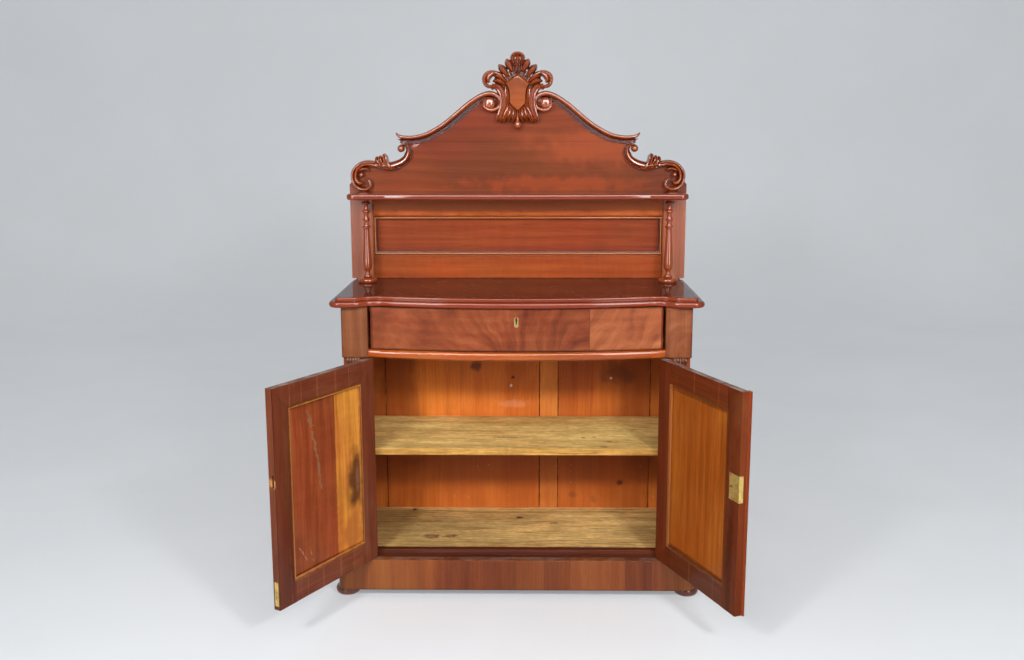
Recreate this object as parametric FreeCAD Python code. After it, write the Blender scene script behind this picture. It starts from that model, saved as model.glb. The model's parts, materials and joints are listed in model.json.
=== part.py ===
import FreeCAD, Part
import math
import os

from FreeCAD import Vector

# Chiffonier: a cupboard with a bowed drawer and two framed doors, under a gallery back with
# a shelf on turned columns and a carved crest. Millimetres. X runs to the right, Y to the back,
# Z up. The origin is on the floor, midway across the carcase and midway through its depth.
# The doors stand open. They are drawn shut, then turned about their hinge pins.

# --- carcase
carcase_width = 1035.0
carcase_depth = 434.0
board = 22.0                    # thickness of the carcase boards
foot_height = 30.0
plinth_height = 97.0
cupboard_height = 630.0         # plinth top to frieze
frieze_height = 155.0
pilaster_width = 71.0
pilaster_setback = 13.5         # pilaster and door faces behind the frieze face
post_back = 38.0                # back of pilasters and blocks, behind the frieze face
block_width = 78.5
block_overhang = 2.5
arris = 3.0
back_board = 10.0
back_gap = 2.0
back_lap = 7.0                  # each board's rear edge laps behind the next one
back_joints = (-0.883, 0.144, 0.268, 0.881)     # shares of the back's half width
back_rebate = 12.0
back_drop = 9.0                 # the back boards reach below the plinth's top

# --- plinth and feet
plinth_side_gap = 2.5           # between the carcase sides and the plinth's boards
plinth_front_gap = 3.5          # between the pilasters and the plinth's front board
plinth_board = 30.0
plinth_corner_radius = 28.0
base_rail_depth = 27.0
bearer_width = 50.0
foot_radius = 38.0
foot_sole_radius = 24.0
foot_crown_radius = 28.0
foot_bulge_inset = 3.5          # of the bun's profile, a third of the way to its middle
foot_spread = 9.5               # foot centre outside the carcase side
foot_inset = 36.0               # foot centre behind the frieze face
foot_peg_radius = 12.0
foot_peg_length = 32.0
block_size = 66.0               # corner blocks that take the foot pegs

# --- cupboard floor and shelf
floor_board = 21.0
floor_rise = 12.0               # floor above the plinth's top
lipping = 25.0
shelf_rise = 305.1              # underside of the shelf above the cupboard floor
shelf_board = 20.4
shelf_setback = 40.0            # front edge behind the frieze face
bearer_size = 20.0

# --- drawer and its rail
rail_thickness = 25.0
rail_bow = 50.0
rail_nose_radius = 9.0
rail_run_back = 40.0
dust_board = 12.0
dust_drop = 7.0
drawer_gap = 2.0                # above and below the drawer front
drawer_end_gap = 7.0
drawer_bow = 40.0
drawer_recess = 5.0             # ends of the drawer front behind the frieze face
drawer_front = 22.0
drawer_end_block = 22.0
drawer_end_round = 6.0
drawer_side = 11.0
drawer_side_gap = 9.6           # between the drawer's sides and the kickers
drawer_bottom = 7.0
drawer_bottom_rise = 9.0
drawer_back_gap = 28.0
running_gap = 0.4
guide_height = 18.0
kicker_width = 44.0
kicker_height = 20.0

# --- main top
nose_thickness = 18.0
field_thickness = 10.0
field_inset = 18.0
field_edge_radius = 4.0
top_end_overhang = 34.5
top_back_overhang = 3.0
top_bow = 51.0                  # middle of the nose in front of the frieze face
top_corner = 35.0
top_hollow_inset = 139.0        # deepest point of the hollow, from the end of the top
top_hollow_depth = 1.0
top_hollow_radius = 55.0
top_swell_radius = 90.0
top_corner_radius = 30.0
nose_radius = 8.0

# --- gallery back
gallery_end_inset = 5.0         # from the end of the main top
gallery_board = 24.0
gallery_setback = 10.0          # back of the gallery in front of the carcase back
gallery_bottom_rail = 74.0
gallery_panel_height = 132.5
gallery_stile_width = 73.0
gallery_sink = 9.0
gallery_panel = 8.0
gallery_tongue = 9.0
bead_width = 13.5
mitre_gap = 0.2                 # each strip of a mitred frame stops this far from its corner
gallery_shelf_rise = 267.0      # underside of the gallery shelf above the main top
gallery_shelf = 20.0
gallery_shelf_end_inset = 13.0  # from the end of the gallery back
gallery_shelf_depth = 178.0
gallery_shelf_bow = 18.0
gallery_shelf_corner = 6.0
gallery_shelf_hollow_inset = 116.0
gallery_shelf_hollow_radius = 60.0
gallery_shelf_swell_radius = 60.0
gallery_shelf_corner_radius = 22.0

gallery_screw_inset = 78.0      # outer screws of the gallery, from the ends of its rails
gallery_screw_grip = 30.0       # how far the foot screws reach into the bottom rail

# --- columns
column_inset = 50.5             # axis inside the end of the gallery shelf
column_stand = 84.0             # axis in front of the gallery back
column_ring = 13.0
column_neck = 7.5
column_waist = 8.5
column_belly = 14.5
dowel_radius = 6.0
dowel_length = 12.0
# the turnings as (radius, height above the main top) and (radius, drop below the gallery shelf)
column_base = ((31.0, 0.0), (31.0, 7.0), (26.5, 8.0), (29.5, 13.0), (29.5, 17.0), (24.0, 23.0),
               (24.0, 27.0), (column_ring, 29.0), (column_ring, 38.0), (column_neck, 41.0),
               (column_neck, 52.0), (column_ring, 58.0))
column_vase_belly = 76.0
column_vase_taper = (12.6, 110.0)
column_head = ((column_waist, 91.0), (column_ring, 87.0), (column_ring, 80.0), (column_neck, 75.0),
               (column_neck, 64.0), (column_ring, 60.0), (column_ring, 56.0), (column_neck, 51.0),
               (column_neck, 39.0), (column_ring, 34.0), (column_ring, 30.0), (column_neck, 26.0),
               (column_neck, 10.0), (column_ring, 7.0), (column_ring, 0.0))

# --- crest: x from the middle and z above the underside of the gallery shelf, scaled so that the
# scroll's widest point stays this far inside the gallery's end
crest_end_inset = 16.0
carving_depth = 28.0
crest_rail_width = 20.0
scroll_width = 21.0
volute_radius = 31.5
eye_radius = 18.0
eye_stand = 3.0
crest_set_in = 4.0              # edge of the crest board inside the middle of the carving
crest_line = ((388, 191), (344, 188), (312, 196), (280, 206), (199, 261), (135, 310), (104, 323), (84, 324))
crest_peak = 356.0
crest_shoulder = 344.0
crest_foot_height = 40.0        # of the board's upright ends
volute_centre = (80.0, 302.5)
eye_centre = (88.0, 300.0)
scroll_line = ((359, 162), (350, 138), (366, 111), (402, 101), (445, 102), (487, 106), (519, 93), (531, 61),
               (514, 34), (487, 39))
scroll_eye = (373.0, 156.0)
scroll_eye_radius = 13.0
curl_eye = (503.0, 57.0)
curl_eye_radius = 12.0
curl_neck_middle = (486.0, 48.0)
leaf_root = (415.0, 107.0)
leaf_arcs = (((436, 143), (452, 135)), ((462, 127), (464, 109)))
cartouche_top = (22.0, 433.0)
cartouche_arcs = (((39, 430), (35, 416)), ((51, 415), (57, 401)), ((89, 405), (116, 372)),
                  ((96, 342), (60, 345)), ((44, 321), (42, 285)), ((60, 260), (46, 245)),
                  ((34, 229), (19, 234)))
cartouche_summit = 460.0
cartouche_bud = 214.0
cartouche_depth = 34.0
shield_outline = ((0, 380), (30, 359), (24, 299), (0, 276))
shield_depth = 5.0

# --- doors
door_thickness = 21.4
door_top_gap = 2.7
door_bottom_gap = 1.7
edge_gap = 1.0                  # door edge to hinge line, and hinge line to pilaster
meeting_gap = 2.0
open_left = 119.2
open_right = 112.2
frame_width = 70.0
door_rebate = 8.0
door_lip = 6.4
door_panel = 8.0
door_bead = 6.0
astragal_lap = 6.0
astragal_seat = 11.0
astragal_depth = 7.0
astragal_clearance = 0.5

# --- hinges
hinge_height = 64.0
hinge_from_end = 100.0
hinge_knuckles = 5
knuckle_radius = 4.5
knuckle_gap = 0.3
knuckle_clearance = 0.5
pin_radius = 2.2
pin_clearance = 0.05
leaf_width = 18.0
leaf_thickness = 1.6
leaf_gap = 0.3                  # between the two leaves of a shut hinge

# --- screws
screw_head_radius = 3.0
screw_shank_radius = 1.5
screw_length = 14.0
screw_clearance = 0.1
top_screw_length = 32.0
leaf_screw_step = 22.0          # between the screws of a hinge leaf
leaf_screw_near = 9.0           # middle screw and outer screws, from the pin
leaf_screw_far = 12.2

# --- locks and bolt
lock_length = 48.0              # along the bolt
lock_breadth = 74.0
lock_plate = 1.5
lock_case_depth = 10.0
lock_case_margin = 4.0
lock_pin_setback = 34.0         # key pin behind the selvage
selvage = 2.0
selvage_depth = 13.0
lock_bolt_breadth = 14.0
lock_bolt_thickness = 5.0
lock_bolt_length = 30.0
lock_travel = 8.0
lock_clearance = 0.3
door_lock_height = 487.0        # centre of the lock above the floor
door_bolt_offset = 9.0          # bolt above the lock's centre
keeper_height = 36.0
keeper_depth = 12.0
keyhole_radius = 3.0
keyhole_slot = 11.0
escutcheon_height = 30.6
escutcheon_width = 12.9
escutcheon_thickness = 1.6
escutcheon_seat = 1.0
bolt_plate_height = 70.0
bolt_plate_width = 13.0
bolt_plate_thickness = 2.5
bolt_plate_rise = 11.0          # above the bottom of the door
bolt_width = 8.0
bolt_thickness = 6.0
bolt_length = 58.0
bolt_travel = 12.0
bolt_knob = 5.0
bolt_knob_rise = 45.0
bolt_clearance = 0.3
bolt_plate_screw_inset = 5.0    # from the plate's top

# --- corbels
corbel_inset = 19.0             # from the pilaster's inner edge
corbel_width = 42.0
corbel_height = 150.0
corbel_roll = 12.0              # height of the rolled top
# the front below the roll, as shares of the corbel's depth and height
corbel_profile = ((0.55, 0.3), (0.75, 0.62), (0.3, 0.93))

# --- joinery
fit = 0.2
mortise_gap = 1.0
over = 1.0                      # cutting shapes run past a face by this much
tiny = 0.01                     # for telling edges apart

# --- places worked out from the sizes
face_y = -carcase_depth / 2
back_y = carcase_depth / 2
half_carcase = carcase_width / 2
inner_half = half_carcase - board
opening_half = half_carcase - pilaster_width
plinth_top = foot_height + plinth_height
frieze_z = plinth_top + cupboard_height
top_z = frieze_z + frieze_height
top_half_width = half_carcase + top_end_overhang
gallery_half_width = top_half_width - gallery_end_inset
gallery_panel_half_width = gallery_half_width - gallery_stile_width
gallery_shelf_half_width = gallery_half_width - gallery_shelf_end_inset
gallery_screw_x = gallery_panel_half_width - gallery_screw_inset
field_z = top_z + nose_thickness + field_thickness
post_y = face_y + post_back
back_board_y = back_y - back_board
hinge_x = opening_half - edge_gap
hinge_y = face_y + pilaster_setback
plinth_inner_half = half_carcase + plinth_side_gap
plinth_half = plinth_inner_half + plinth_board
plinth_inner_y = hinge_y - plinth_front_gap
plinth_y = plinth_inner_y - plinth_board
floor_z = plinth_top + floor_rise
floor_under_z = floor_z - floor_board
rail_base_z = floor_under_z - base_rail_depth
block_half = half_carcase + block_overhang
block_inner = block_half - block_width
rail_top_z = frieze_z + rail_thickness
shelf_under_z = floor_z + shelf_rise
shelf_y = face_y + shelf_setback
gallery_back_y = back_y - gallery_setback
gallery_y = gallery_back_y - gallery_board
panel_low_z = field_z + gallery_bottom_rail
panel_high_z = panel_low_z + gallery_panel_height
gallery_shelf_z = field_z + gallery_shelf_rise
crest_half = max(x for x, z in scroll_line) + crest_end_inset
crest_scale = gallery_half_width / crest_half
door_edge_x = hinge_x - edge_gap
door_meet_x = meeting_gap / 2
door_low_z = plinth_top + door_bottom_gap
door_high_z = frieze_z - door_top_gap
door_inner_y = hinge_y + door_thickness
column_x = gallery_shelf_half_width - column_inset
column_y = gallery_y - column_stand
drawer_half = block_inner - drawer_end_gap
drawer_low_z = rail_top_z + drawer_gap
drawer_high_z = top_z - drawer_gap
runner_inner = drawer_half - drawer_side - 2 * running_gap

os.makedirs("parts", exist_ok=True)


# --- helpers
def box(x0, x1, y0, y1, z0, z1):
    return Part.makeBox(x1 - x0, y1 - y0, z1 - z0, Vector(x0, y0, z0))


def post(x, y, z0, z1, radius):
    return Part.makeCylinder(radius, z1 - z0, Vector(x, y, z0))


def mirrored(shape):
    return shape.mirror(Vector(0, 0, 0), Vector(1, 0, 0))


def pair(shape):
    return [mirrored(shape), shape]


def write(name, *solids):
    shape = solids[0] if len(solids) == 1 else Part.makeCompound(list(solids))
    shape.exportStep(os.path.join("parts", name + ".step"))


def arc(a, b, c):
    return Part.Arc(a, b, c).toShape()


def line(a, b):
    return Part.LineSegment(a, b).toShape()


def in_plan(x, y):
    return Vector(x, y, 0)


def edges_at(shape, z, keep):
    found = []
    for edge in shape.Edges:
        ends = [vertex.Point for vertex in edge.Vertexes]
        if all(abs(p.z - z) < tiny for p in ends) and keep(edge.CenterOfMass):
            found.append(edge)
    return found


def upright_edges(shape, keep):
    found = []
    for edge in shape.Edges:
        run = edge.BoundBox
        if run.XLength < tiny and run.YLength < tiny and keep(edge.CenterOfMass):
            found.append(edge)
    return found


# --- bowed and serpentine outlines
def bow_radius(half_chord, rise):
    return (half_chord ** 2 + rise ** 2) / (2 * rise)


def bowed_slab(half, end_y, bow, back, z0, z1):
    # a slab whose front is one arc that stands forward of its ends by the bow
    front = arc(in_plan(-half, end_y), in_plan(0, end_y - bow), in_plan(half, end_y))
    corners = [in_plan(half, end_y), in_plan(half, back), in_plan(-half, back), in_plan(-half, end_y)]
    sides = [line(a, b) for a, b in zip(corners, corners[1:])]
    face = Part.Face(Part.Wire([front] + sides))
    slab = face.extrude(Vector(0, 0, z1 - z0))
    slab.translate(Vector(0, 0, z0))
    return slab


def serpentine_slab(shape, inset, back, z0, z1):
    # the front runs from a long middle bow through a hollow and a swell to a rounded corner
    half, bow_y, corner_y, hollow_x, hollow_y, hollow_r, swell_r, corner_r = shape
    bow_r = bow_radius(hollow_x, hollow_y - bow_y)
    hollow_cy = bow_y + bow_r - math.sqrt((bow_r + hollow_r) ** 2 - hollow_x ** 2)
    swell_cy = corner_y + swell_r
    rise = swell_cy - hollow_cy
    swell_x = hollow_x + math.sqrt((hollow_r + swell_r) ** 2 - rise ** 2)
    turn = hollow_x / (bow_r + hollow_r)
    bow_end = Vector((bow_r - inset) * turn, 0, 0)
    bow_end.y = bow_y + bow_r - (bow_r - inset) * math.sqrt(1 - turn ** 2)
    hollow_mid = in_plan(hollow_x, hollow_cy + hollow_r + inset)
    share = (hollow_r + inset) / (hollow_r + swell_r)
    hollow_end = in_plan(hollow_x + (swell_x - hollow_x) * share, hollow_cy + rise * share)
    lean = math.atan2(swell_x - hollow_end.x, swell_cy - hollow_end.y) / 2
    radius = swell_r - inset
    swell_mid = in_plan(swell_x - radius * math.sin(lean), swell_cy - radius * math.cos(lean))
    swell_end = in_plan(swell_x, corner_y + inset)
    corner = in_plan(half - corner_r, corner_y + corner_r)
    corner_start = in_plan(corner.x, corner_y + inset)
    reach = (corner_r - inset) * math.sqrt(0.5)
    corner_mid = in_plan(corner.x + reach, corner.y - reach)
    corner_end = in_plan(half - inset, corner.y)
    rear = in_plan(half - inset, back)

    def flip(p):
        return Vector(-p.x, p.y, 0)

    right = [arc(bow_end, hollow_mid, hollow_end), arc(hollow_end, swell_mid, swell_end),
             line(swell_end, corner_start), arc(corner_start, corner_mid, corner_end),
             line(corner_end, rear)]
    left = [arc(flip(bow_end), flip(hollow_mid), flip(hollow_end)),
            arc(flip(hollow_end), flip(swell_mid), flip(swell_end)),
            line(flip(swell_end), flip(corner_start)),
            arc(flip(corner_start), flip(corner_mid), flip(corner_end)),
            line(flip(corner_end), flip(rear))]
    middle = arc(flip(bow_end), in_plan(0, bow_y + inset), bow_end)
    outline = Part.Wire(Part.__sortEdges__([middle] + right + left + [line(rear, flip(rear))]))
    slab = Part.Face(outline).extrude(Vector(0, 0, z1 - z0))
    slab.translate(Vector(0, 0, z0))
    return slab


# --- carved outlines, drawn in the X-Z plane and extruded forward from the gallery's face
def in_crest(x, z):
    return Vector(x * crest_scale, gallery_y, gallery_shelf_z + z * crest_scale)


def carved(wire, depth):
    return Part.Face(wire).extrude(Vector(0, -depth, 0))


def smooth_line(points):
    curve = Part.BSplineCurve()
    curve.interpolate(points)
    return curve


def ribbon(points, width, depth):
    # a bar of one width that follows a smooth line
    spine = smooth_line([in_crest(x, z) for x, z in points])
    stations = 4 * len(points)
    first, last = spine.FirstParameter, spine.LastParameter
    sides = ([], [])
    for i in range(stations + 1):
        at = first + (last - first) * i / stations
        along = spine.tangent(at)[0]
        across = Vector(-along.z, 0, along.x) * (width * crest_scale / 2)
        sides[0].append(spine.value(at) + across)
        sides[1].append(spine.value(at) - across)
    upper = smooth_line(sides[0]).toShape()
    lower = smooth_line(sides[1]).toShape()
    ends = [line(sides[0][0], sides[1][0]), line(sides[0][-1], sides[1][-1])]
    wire = Part.Wire(Part.__sortEdges__([upper, lower] + ends))
    return carved(wire, depth)


def disc(x, z, radius, depth):
    return Part.makeCylinder(radius * crest_scale, depth, in_crest(x, z), Vector(0, -1, 0))


def arc_chain(start, arcs):
    edges = []
    here = in_crest(*start)
    for middle, end in arcs:
        there = in_crest(*end)
        edges.append(arc(here, in_crest(*middle), there))
        here = there
    return edges


# --- screws
def screw(head, direction, length):
    # a countersunk screw whose flat head lies at the given point
    cone = Part.makeCone(screw_head_radius, screw_shank_radius, screw_head_radius / 2, head, direction)
    shank = Part.makeCylinder(screw_shank_radius, length, head, direction)
    return cone.fuse(shank).removeSplitter()


def screw_hole(head, direction, length):
    wide = screw_head_radius + screw_clearance
    narrow = screw_shank_radius + screw_clearance
    cone = Part.makeCone(wide, narrow, screw_head_radius / 2, head, direction)
    shank = Part.makeCylinder(narrow, length + screw_clearance, head, direction)
    return cone.fuse(shank)


# --- feet and plinth
foot_x = half_carcase + foot_spread
foot_ys = (face_y + foot_inset, back_y - foot_inset)


def bun_foot(x, y):
    bulge = foot_radius - foot_bulge_inset
    third = foot_height / 6
    centre_low = Vector(0, 0, 0)
    centre_high = Vector(0, 0, foot_height)
    sole = Vector(foot_sole_radius, 0, 0)
    waist = Vector(foot_radius, 0, foot_height / 2)
    crown = Vector(foot_crown_radius, 0, foot_height)
    lower = arc(sole, Vector(bulge, 0, third), waist)
    upper = arc(waist, Vector(bulge, 0, foot_height - third), crown)
    wire = Part.Wire([line(centre_low, sole), lower, upper, line(crown, centre_high),
                      line(centre_high, centre_low)])
    bun = Part.Face(wire).revolve(centre_low, Vector(0, 0, 1), 360)
    bun.translate(Vector(x, y, 0))
    peg = post(x, y, foot_height - over, foot_height + foot_peg_length, foot_peg_radius)
    return bun.fuse(peg).removeSplitter()


def foot_sockets():
    sockets = []
    for side in (-1, 1):
        for y in foot_ys:
            top = foot_height + foot_peg_length + fit
            sockets.append(post(side * foot_x, y, foot_height - over, top, foot_peg_radius + fit))
    return sockets


def without(shape, cutters):
    for cutter in cutters:
        shape = shape.cut(cutter)
    return shape


sockets = foot_sockets()
write("bun_feet", *[bun_foot(side * foot_x, y) for side in (-1, 1) for y in foot_ys])

corner_blocks = []
for side in (-1, 1):
    for low_y, high_y in ((plinth_inner_y, plinth_inner_y + block_size),
                          (back_y - board - block_size, back_y - board)):
        outer = side * plinth_inner_half
        inner = side * (plinth_inner_half - block_size)
        block = box(min(outer, inner), max(outer, inner), low_y, high_y, foot_height, rail_base_z)
        corner_blocks.append(without(block, sockets))
write("plinth_corner_blocks", *corner_blocks)

plinth_front = box(-plinth_half, plinth_half, plinth_y, plinth_inner_y, foot_height, plinth_top)
front_corners = upright_edges(plinth_front, lambda p: p.y < plinth_y + over)
plinth_front = plinth_front.makeFillet(plinth_corner_radius, front_corners)
write("plinth_front", without(plinth_front, sockets))

plinth_side = box(plinth_inner_half, plinth_half, plinth_inner_y, back_y, foot_height, plinth_top)
write("plinth_sides", *[without(side, sockets) for side in pair(plinth_side)])

plinth_back = box(-plinth_inner_half, plinth_inner_half, back_y - board, back_y,
                  foot_height, plinth_top - back_drop)
write("plinth_back", plinth_back)

sill = box(-plinth_inner_half, plinth_inner_half, plinth_inner_y, post_y, rail_base_z, plinth_top)
bolt_x = door_meet_x + bolt_plate_thickness + bolt_clearance + bolt_thickness / 2
bolt_y = hinge_y + door_thickness / 2
socket_half_x = bolt_thickness / 2 + 2 * bolt_clearance
socket_half_y = bolt_width / 2 + 2 * bolt_clearance
sill_socket = box(-bolt_x - socket_half_x, -bolt_x + socket_half_x,
                  bolt_y - socket_half_y, bolt_y + socket_half_y,
                  plinth_top - bolt_travel - bolt_clearance, plinth_top + over)
side_bearer = box(plinth_inner_half - bearer_width, plinth_inner_half, post_y, back_y - board,
                  rail_base_z, floor_under_z)
write("base_rails", sill.cut(sill_socket), *pair(side_bearer))

# --- cupboard floor
write("floor_lipping", box(-inner_half, inner_half, post_y, post_y + lipping, floor_under_z, floor_z))
write("floor_board", box(-inner_half, inner_half, post_y + lipping, back_board_y, floor_under_z, floor_z))

# --- sides, pilasters, frieze blocks
side_board = box(inner_half, half_carcase, post_y, back_y, floor_under_z, top_z)
side_board = side_board.cut(box(inner_half - over, inner_half + back_rebate, back_board_y, back_y + over,
                                floor_under_z - over, top_z + over))
for name, shape in zip(("side_left", "side_right"), pair(side_board)):
    write(name, shape)

hinge_mid_zs = (door_low_z + hinge_from_end, door_high_z - hinge_from_end)
leaf_half = hinge_height / 2


def knuckle_well(mid_z):
    reach = leaf_half + knuckle_clearance
    return post(hinge_x, hinge_y, mid_z - reach, mid_z + reach, knuckle_radius + knuckle_clearance)


def leaf_seat(mid_z, side):
    # the recess for a leaf in the pilaster (side 1) or in the shut door (side -1)
    near = hinge_x + side * leaf_gap / 2
    far = near + side * leaf_thickness
    return box(min(near, far), max(near, far), hinge_y - over, hinge_y + leaf_width,
               mid_z - leaf_half, mid_z + leaf_half)


def leaf_screw_points(mid_z, side):
    # heads lie in the leaf's open face, in a staggered row of three
    face_x = hinge_x + side * leaf_gap / 2
    spots = []
    for step, inward in ((-1, leaf_screw_far), (0, leaf_screw_near), (1, leaf_screw_far)):
        spots.append(Vector(face_x, hinge_y + inward, mid_z + step * leaf_screw_step))
    return spots


def hinge_leaf(mid_z, side):
    plate = box(0, leaf_thickness, 0, leaf_width, -leaf_half, leaf_half)
    plate.translate(Vector(hinge_x + side * leaf_gap / 2 - (leaf_thickness if side < 0 else 0),
                           hinge_y, mid_z))
    step = hinge_height / hinge_knuckles
    body = plate
    own = 0 if side > 0 else 1
    for k in range(hinge_knuckles):
        low = mid_z - leaf_half + k * step
        if k % 2 == own:
            tube = post(hinge_x, hinge_y, low + (knuckle_gap / 2 if k else 0),
                        low + step - (knuckle_gap / 2 if k < hinge_knuckles - 1 else 0), knuckle_radius)
            body = body.fuse(tube)
    for k in range(hinge_knuckles):
        low = mid_z - leaf_half + k * step
        if k % 2 != own:
            body = body.cut(post(hinge_x, hinge_y, low - knuckle_gap / 2, low + step + knuckle_gap / 2,
                                 knuckle_radius + knuckle_gap))
    body = body.cut(post(hinge_x, hinge_y, mid_z - leaf_half - over, mid_z + leaf_half + over,
                         pin_radius + pin_clearance))
    outward = Vector(side, 0, 0)
    return without(body, [screw_hole(p, outward, screw_length) for p in leaf_screw_points(mid_z, side)])


def leaf_screws(mid_z, side):
    return [screw(p, Vector(side, 0, 0), screw_length) for p in leaf_screw_points(mid_z, side)]


def hinge_wood_cutters(side):
    cutters = []
    for mid_z in hinge_mid_zs:
        cutters += [knuckle_well(mid_z), leaf_seat(mid_z, side)]
        cutters += [screw_hole(p, Vector(side, 0, 0), screw_length) for p in leaf_screw_points(mid_z, side)]
    return cutters


pilaster = box(opening_half, half_carcase, hinge_y, post_y, plinth_top, frieze_z)
pilaster = without(pilaster, hinge_wood_cutters(1))
write("pilasters", *pair(pilaster))

frieze_block = box(block_inner, block_half, face_y, post_y, frieze_z, top_z)
frieze_block = frieze_block.makeFillet(arris, upright_edges(frieze_block, lambda p: p.y < face_y + over))
for name, shape in zip(("frieze_block_left", "frieze_block_right"), pair(frieze_block)):
    write(name, shape)

# --- corbels: a leaf bracket with a rolled top, under each frieze block
corbel_x = opening_half + corbel_inset


def corbel():
    def at(depth, drop):
        return Vector(corbel_x, hinge_y - depth, frieze_z - drop)

    full = pilaster_setback
    roll_low = at(full, corbel_roll)
    foot = at(0, corbel_height)
    swells = [at(full * out, corbel_height * down) for out, down in corbel_profile]
    front = smooth_line([roll_low] + swells + [foot]).toShape()
    edges = [line(at(0, 0), at(full, 0)), line(at(full, 0), roll_low), front, line(foot, at(0, 0))]
    return Part.Face(Part.Wire(edges)).extrude(Vector(corbel_width, 0, 0))


write("corbels", *pair(corbel()))

# --- drawer rail, dust board, runners and kickers
rail_front = bowed_slab(block_inner, face_y, rail_bow, post_y, frieze_z, rail_top_z)
nose_edges = [edge for z in (frieze_z, rail_top_z)
              for edge in edges_at(rail_front, z, lambda p: p.y < face_y - over)]
rail_front = rail_front.makeFillet(rail_nose_radius, nose_edges)
rail_back = box(-inner_half, inner_half, post_y, post_y + rail_run_back, frieze_z, rail_top_z)
drawer_rail = rail_front.fuse(rail_back).removeSplitter()
write("drawer_rail", drawer_rail)

dust_y = post_y + rail_run_back
dust_top_z = rail_top_z - dust_drop
write("dust_board", box(-inner_half, inner_half, dust_y, back_board_y, dust_top_z - dust_board, dust_top_z))

runner = box(runner_inner, inner_half, dust_y, back_board_y, dust_top_z, rail_top_z)
guide = box(drawer_half + running_gap, inner_half, dust_y, back_board_y, dust_top_z,
            rail_top_z + guide_height)
write("drawer_runners", *pair(runner.fuse(guide).removeSplitter()))

kicker = box(inner_half - kicker_width - drawer_side, inner_half, post_y, back_board_y,
             top_z - kicker_height, top_z)
kicker_screw_x = inner_half - kicker_width / 2
kicker_points = [Vector(kicker_screw_x, y, top_z - kicker_height)
                 for y in (post_y + kicker_width, back_board_y - kicker_width)]
up = Vector(0, 0, 1)
kicker_holes = [screw_hole(p, up, top_screw_length) for p in kicker_points]
write("kickers", *pair(without(kicker, kicker_holes)))

# --- back boards
back_half = inner_half + back_rebate
back_edges = [-back_half] + [share * back_half for share in back_joints] + [back_half]
back_low_z = plinth_top - back_drop
back_lip_y = back_y - back_board / 2
back_lip_reach = back_gap + back_lap
backs = []
for left, right in zip(back_edges, back_edges[1:]):
    low_x = left + (back_gap / 2 if left != back_edges[0] else fit)
    high_x = right - (back_gap / 2 if right != back_edges[-1] else fit)
    board = box(low_x, high_x, back_board_y, back_y, back_low_z, top_z)
    if left != back_edges[0]:
        board = board.cut(box(low_x - over, low_x + back_lip_reach, back_lip_y - fit, back_y + over,
                              back_low_z - over, top_z + over))
    if right != back_edges[-1]:
        lip = box(high_x - over, high_x + back_lip_reach, back_lip_y, back_y, back_low_z, top_z)
        board = board.fuse(lip).removeSplitter()
    backs.append(board)
write("back_boards", *backs)

# --- cupboard shelf on its bearers
write("shelf", box(-inner_half + fit, inner_half - fit, shelf_y, back_board_y - fit,
                   shelf_under_z, shelf_under_z + shelf_board))
shelf_bearer = box(inner_half - bearer_size, inner_half, shelf_y + bearer_size, back_board_y,
                   shelf_under_z - bearer_size, shelf_under_z)
write("shelf_bearers", *pair(shelf_bearer))

# --- main top
top_shape = (top_half_width, face_y - top_bow, face_y - top_corner,
             top_half_width - top_hollow_inset, face_y - top_hollow_depth,
             top_hollow_radius, top_swell_radius, top_corner_radius)
top_back_y = back_y + top_back_overhang
nose_z = top_z + nose_thickness
nose_slab = serpentine_slab(top_shape, 0, top_back_y, top_z, nose_z)
round_edges = [edge for z in (top_z, nose_z)
               for edge in edges_at(nose_slab, z, lambda p: p.y < top_back_y - over)]
nose_slab = nose_slab.makeFillet(nose_radius, round_edges)
field_slab = serpentine_slab(top_shape, field_inset, top_back_y, nose_z, field_z)
field_rim = edges_at(field_slab, field_z, lambda p: p.y < top_back_y - over)
field_slab = field_slab.makeFillet(field_edge_radius, field_rim)
main_top = nose_slab.fuse(field_slab).removeSplitter()

gallery_foot_y = gallery_y + gallery_board / 2
gallery_screw_xs = (-gallery_screw_x, 0, gallery_screw_x)
gallery_foot_points = [Vector(x, gallery_foot_y, top_z) for x in gallery_screw_xs]
gallery_foot_length = field_z - top_z + gallery_screw_grip
gallery_foot_holes = [screw_hole(p, up, gallery_foot_length) for p in gallery_foot_points]
column_socket = post(column_x, column_y, field_z - dowel_length - fit, field_z + over, dowel_radius + fit)
drawer_lock_z = drawer_high_z - lock_pin_setback
drawer_mid_y = face_y + drawer_recess - drawer_bow
drawer_inner_y = drawer_mid_y + drawer_front
bolt_plane = lock_plate + lock_case_depth / 2
mortise_half_x = lock_bolt_breadth / 2 + mortise_gap
mortise_half_y = lock_bolt_thickness / 2 + mortise_gap
mortise_y = drawer_inner_y - bolt_plane
top_mortise = box(-mortise_half_x, mortise_half_x, mortise_y - mortise_half_y, mortise_y + mortise_half_y,
                  top_z - over, top_z + lock_travel)
main_top = without(main_top, pair(column_socket) + gallery_foot_holes + [top_mortise])
main_top = without(main_top, kicker_holes + [mirrored(hole) for hole in kicker_holes])
write("main_top", main_top)

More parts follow.
